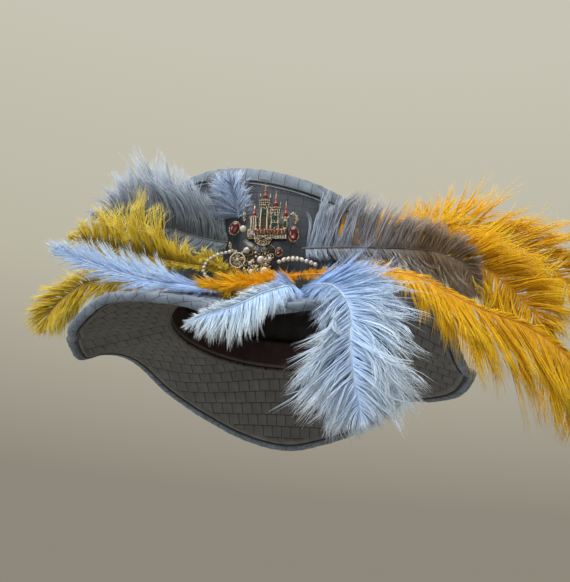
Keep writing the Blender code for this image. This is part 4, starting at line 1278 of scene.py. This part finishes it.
def add_garnet(garnet, materials):
    """A domed oval stone in a thin bezel on a short collet."""
    wide, high = garnet.half_width, garnet.half_height
    jewel = Jewel(garnet.x, JEWEL_BACK, garnet.z, garnet.lean)
    jewel.gem("gold", (0, 0, 0), wide * 0.96, high * 0.96, 1.7, 24)
    jewel.oval("gold", (0, -1.7, 0), wide * 0.95, high * 0.96, 0.36, 36)
    jewel.oval("gold", (0, -0.6, 0), wide, high, 0.3, 36)
    jewel.dome("garnet", (0, -1.6, 0), wide * 0.9, high * 0.92, 1.9)
    # A small pale dome low on the stone is a painted highlight.
    if garnet.name != "garnet_left":
        jewel.dome("rose", (-0.1 * wide, -2.95, -0.42 * high), wide * 0.3, high * 0.22, 0.42)
    jewel.build(garnet.name + "_setting", materials, "garnet_red", garnet.name)


def add_cluster(materials):
    """The filigree under the castle: scrolls, leaf stones, a flower and a scatter of beads."""
    jewel = Jewel(depth=JEWEL_BACK)
    x, z, wide, high = PLATE

    def on_plate(depth, reach, turn):
        return on_oval((x, -depth, z), wide * reach, high * reach, turn)

    # A near-black plate: painted shade between the filigree's wires and beads.
    jewel.gem("dark", (x, 0, z), wide - 0.6, high - 0.6, 0.9, 28)
    for i, turn in enumerate(round_turns(17)):
        jewel.oval("gold", on_plate(1.1, 0.82 if i % 2 else 0.6, turn), 1.9, 1.9, 0.32, 14)
    rng = np.random.default_rng(21)
    for _ in range(60):
        turn, reach = rng.uniform(0, 2 * math.pi), math.sqrt(rng.uniform(0.02, 0.9))
        kind = ("gold", "clear", "pearl", "gold")[rng.integers(4)]
        at = on_plate(1.3 + rng.uniform(0, 0.5), reach, turn)
        jewel.ball(kind, at, rng.uniform(0.5, 1.0), 8)
    for pearl_x, pearl_z, radius in CLUSTER_PEARLS:
        jewel.ball("pearl", (pearl_x, -1.7, pearl_z), radius, 14)
    for leaf in LEAVES:
        add_leaf(jewel, leaf)
    add_flower(jewel)
    jewel.build("cluster_filigree", materials, "antique_gold", "filigree_cluster")


def add_flower(jewel):
    """Five gold petals round a pearl, in a wheel with clear stones on its rim."""
    x, z = FLOWER
    jewel.ball("pearl", (x, -2.4, z), 1.3, 12)
    for i in range(5):
        turn = math.radians(72 * i + 20)
        jewel.gem("gold", on_oval((x, -0.8, z), 2.9, 2.9, turn), 1.7, 1.7, 1.1, 10)
        jewel.oval("gold", on_oval((x, -1.6, z), 2.9, 2.9, turn), 1.4, 1.4, 0.28, 14)
    for turn in round_turns(26):
        jewel.ball("clear", on_oval((x, -1.7, z), 5.4, 5.8, turn), 0.66, 8)
    jewel.oval("gold", (x, -1.2, z), 5.4, 5.8, 0.6, 36)


def add_leaf(jewel, leaf):
    """A pointed grey-blue stone with a wire round it, leaning outwards."""
    lean = math.radians(leaf.lean)
    along = Vector((math.sin(lean), 0, math.cos(lean)))
    across = Vector((math.cos(lean), 0, -math.sin(lean)))
    middle = Vector((leaf.x, 0, leaf.z))

    def outline(reach, depth):
        points = []
        for turn in round_turns(20):
            wide = leaf.half_width * math.sin(turn) * (1 - 0.25 * math.cos(turn))
            out = across * wide + along * leaf.half_length * math.cos(turn)
            points.append(middle + out * reach + Vector((0, -depth, 0)))
        return points

    jewel.wire("gold", outline(1, 1.9), 0.26, closed=True)
    jewel.skin(leaf.stone, [outline(1, 0.6), outline(0.6, 2.9)])


def add_curve(curve, materials):
    """A row of set stones between two wires, with a bead at each end."""
    jewel = Jewel(depth=JEWEL_BACK)
    path = smooth(curve.points, np.linspace(0, len(curve.points) - 1, 26))
    step = np.gradient(path, axis=0)
    across = unit(np.stack((step[:, 1], -step[:, 0]), -1))
    for way in (-1, 1):
        side = path + across * way * (curve.radius - 0.35)
        jewel.wire("gold", [(x, -curve.radius, z) for x, z in side], 0.35)
    jewel.wire("gold", [(x, -0.6, z) for x, z in path], curve.radius * 0.62, sides=8)
    length = np.concatenate(((0,), np.cumsum(np.linalg.norm(np.diff(path, axis=0), axis=1))))
    for place in np.arange(curve.half_height + 0.1, length[-1], curve.pitch):
        x, z = (np.interp(place, length, path[:, k]) for k in (0, 1))
        at = (x, -curve.radius - 0.1, z)
        jewel.gem(curve.stone, at, curve.half_width, curve.half_height, 1.0, 8)
    for x, z in (path[0], path[-1]):
        jewel.ball("gold", (x, -curve.radius, z), curve.radius * 0.85, 10)
    jewel.build(curve.name + "_stones", materials, "antique_gold", curve.name)


def strand_middles(strand):
    """Bead middles, a bead's width apart along a smooth line."""
    fine = smooth(strand.points, np.linspace(0, len(strand.points) - 1, 401))
    places = [fine[0]]
    for point in fine[1:]:
        if np.linalg.norm(point - places[-1]) >= strand.bead:
            places.append(point)
    return [(x, strand.depth, z) for x, z in places]


def add_pearls(materials):
    for pearl in PEARLS:
        jewel = Jewel()
        jewel.ball("pearl", (pearl.x, pearl.depth, pearl.z), pearl.radius, 28)
        jewel.ball("gold", (pearl.x, pearl.depth - pearl.radius + 0.1, pearl.z), 0.3, 8)
        jewel.build(pearl.name + "_ball", materials, "pearl_white", pearl.name)
    rng = np.random.default_rng(31)
    for strand in STRANDS:
        jewel = Jewel()
        middles = strand_middles(strand)
        for middle in middles:
            jewel.ball("pearl", middle, strand.bead / 2 * rng.uniform(0.93, 1.02), 16)
        jewel.wire("gold", middles, 0.25)
        jewel.build(strand.name + "_pearls", materials, "pearl_white", strand.name)


def stone_material(name, colour, roughness, metallic, coat):
    """A polished stone with a little cloudiness inside."""
    pale = tuple(min(1, c * 1.5 + 0.003) for c in colour)
    stops = ((0.3, colour), (0.7, pale))
    material, tree, shader = speckled(name, stops, 700, 2, roughness, metallic)
    set_inputs(tree, shader, {
        "Coat Weight": coat, "Coat Roughness": 0.05, "Specular IOR Level": 0.25
    })
    return material


def jewel_materials():
    """Gold with painted shade and highlights in random blotches, pearl and the stones, by the kinds that
    a jewel's parts name.
    """
    # The gold's near-black blotches are painted shade of recesses and its pale ones painted highlights,
    # scattered at random.
    stops = ((0.40, (0.035, 0.026, 0.017)), (0.64, (0.47, 0.38, 0.25)))
    gold, tree, shader = speckled("antique_gold", stops, 900, 4, 0.3, 1.0)
    set_inputs(tree, shader, {"Normal": bump(tree, noise(tree, 2600, 2), 0.25, 0.15 * MM)})
    stops = ((0.3, (0.27, 0.25, 0.21)), (0.7, (0.46, 0.44, 0.40)))
    pearl, tree, shader = speckled("pearl_lustre", stops, 260, 3, 0.22)
    set_inputs(tree, shader, {"Coat Weight": 0.8, "Coat Roughness": 0.08})
    stones = {kind: stone_material(*stone) for kind, stone in STONES.items()}
    return {"gold": gold, "pearl": pearl, **stones}


def add_jewels():
    materials = jewel_materials()
    add_castle(materials)
    for garnet in GARNETS:
        add_garnet(garnet, materials)
    add_cluster(materials)
    for curve in CURVES:
        add_curve(curve, materials)
    add_pearls(materials)


def add_camera():
    """The camera of the photograph."""
    data = bpy.data.cameras.new("camera")
    data.sensor_fit = "VERTICAL"
    data.sensor_height = CAMERA_SENSOR
    data.lens = CAMERA_LENS
    data.clip_start = 0.01
    camera = bpy.data.objects.new("camera", data)
    forward = Vector(CAMERA_FORWARD).normalized()
    right = forward.cross(Vector(CAMERA_UP)).normalized()
    up = right.cross(forward)
    turn = Matrix((right, up, -forward)).transposed().to_4x4()
    camera.matrix_world = Matrix.Translation(CAMERA_AT) @ turn
    bpy.context.scene.collection.objects.link(camera)
    bpy.context.scene.camera = camera


def add_light(lamp):
    """A round soft lamp that looks at the hat."""
    data = bpy.data.lights.new(lamp.name, "AREA")
    data.shape = "DISK"
    data.size = lamp.size
    data.energy = lamp.power
    data.color = lamp.colour
    light = bpy.data.objects.new(lamp.name, data)
    light.location = lamp.at
    light.rotation_euler = (-Vector(lamp.at)).to_track_quat("-Z", "Y").to_euler()
    bpy.context.scene.collection.objects.link(light)


def add_studio():
    """A pale floor well below the hat, a pale room and soft lamps around it."""
    bpy.ops.mesh.primitive_plane_add(size=30, location=(0, 0, FLOOR_HEIGHT))
    floor = bpy.context.object
    floor.name = "floor"
    material, tree, shader = new_material("pale_floor", 0.9)
    set_inputs(tree, shader, {"Base Color": FLOOR_COLOUR})
    floor.data.materials.append(material)
    world = bpy.data.worlds.new("room")
    world.use_nodes = True
    tree = world.node_tree
    direction = new_node(tree, "TexCoord").outputs["Generated"]
    height = new_node(tree, "SeparateXYZ", {"Vector": direction}).outputs["Z"]
    set_inputs(tree, tree.nodes["Background"], {"Color": colour_ramp(tree, ROOM_SHADES, height)})
    bpy.context.scene.world = world
    bpy.context.scene.view_settings.view_transform = "Standard"
    for lamp in LAMPS:
        add_light(lamp)


def main():
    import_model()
    add_camera()
    add_studio()
    quilted = {place: quilted_cloth(*cloth) for place, cloth in QUILTED.items()}
    plain = {place: plain_cloth(*cloth) for place, cloth in PLAIN.items()}
    binding_path = add_brim(quilted["brim"], quilted["under"], plain["band"])
    add_crown(quilted["side"], quilted["tip"], plain["lining"])
    add_trims(binding_path, plain["black"], plain["leather"], plain["thread"])
    feathers = {}
    for name, dye in DYES.items():
        feathers[name] = feather(name + "_barbs", dye)
        feathers[name + "_quill"] = plain_cloth(*Plain(name + "_quill", dye.quill, dye.dark, 0.5))
    for number, plume in enumerate(PLUMES):
        add_plume(number, plume, feathers)
    # The patch wears the crown side's cloth, with its painted shade.
    add_patch(quilted["side"])
    add_jewels()


main()
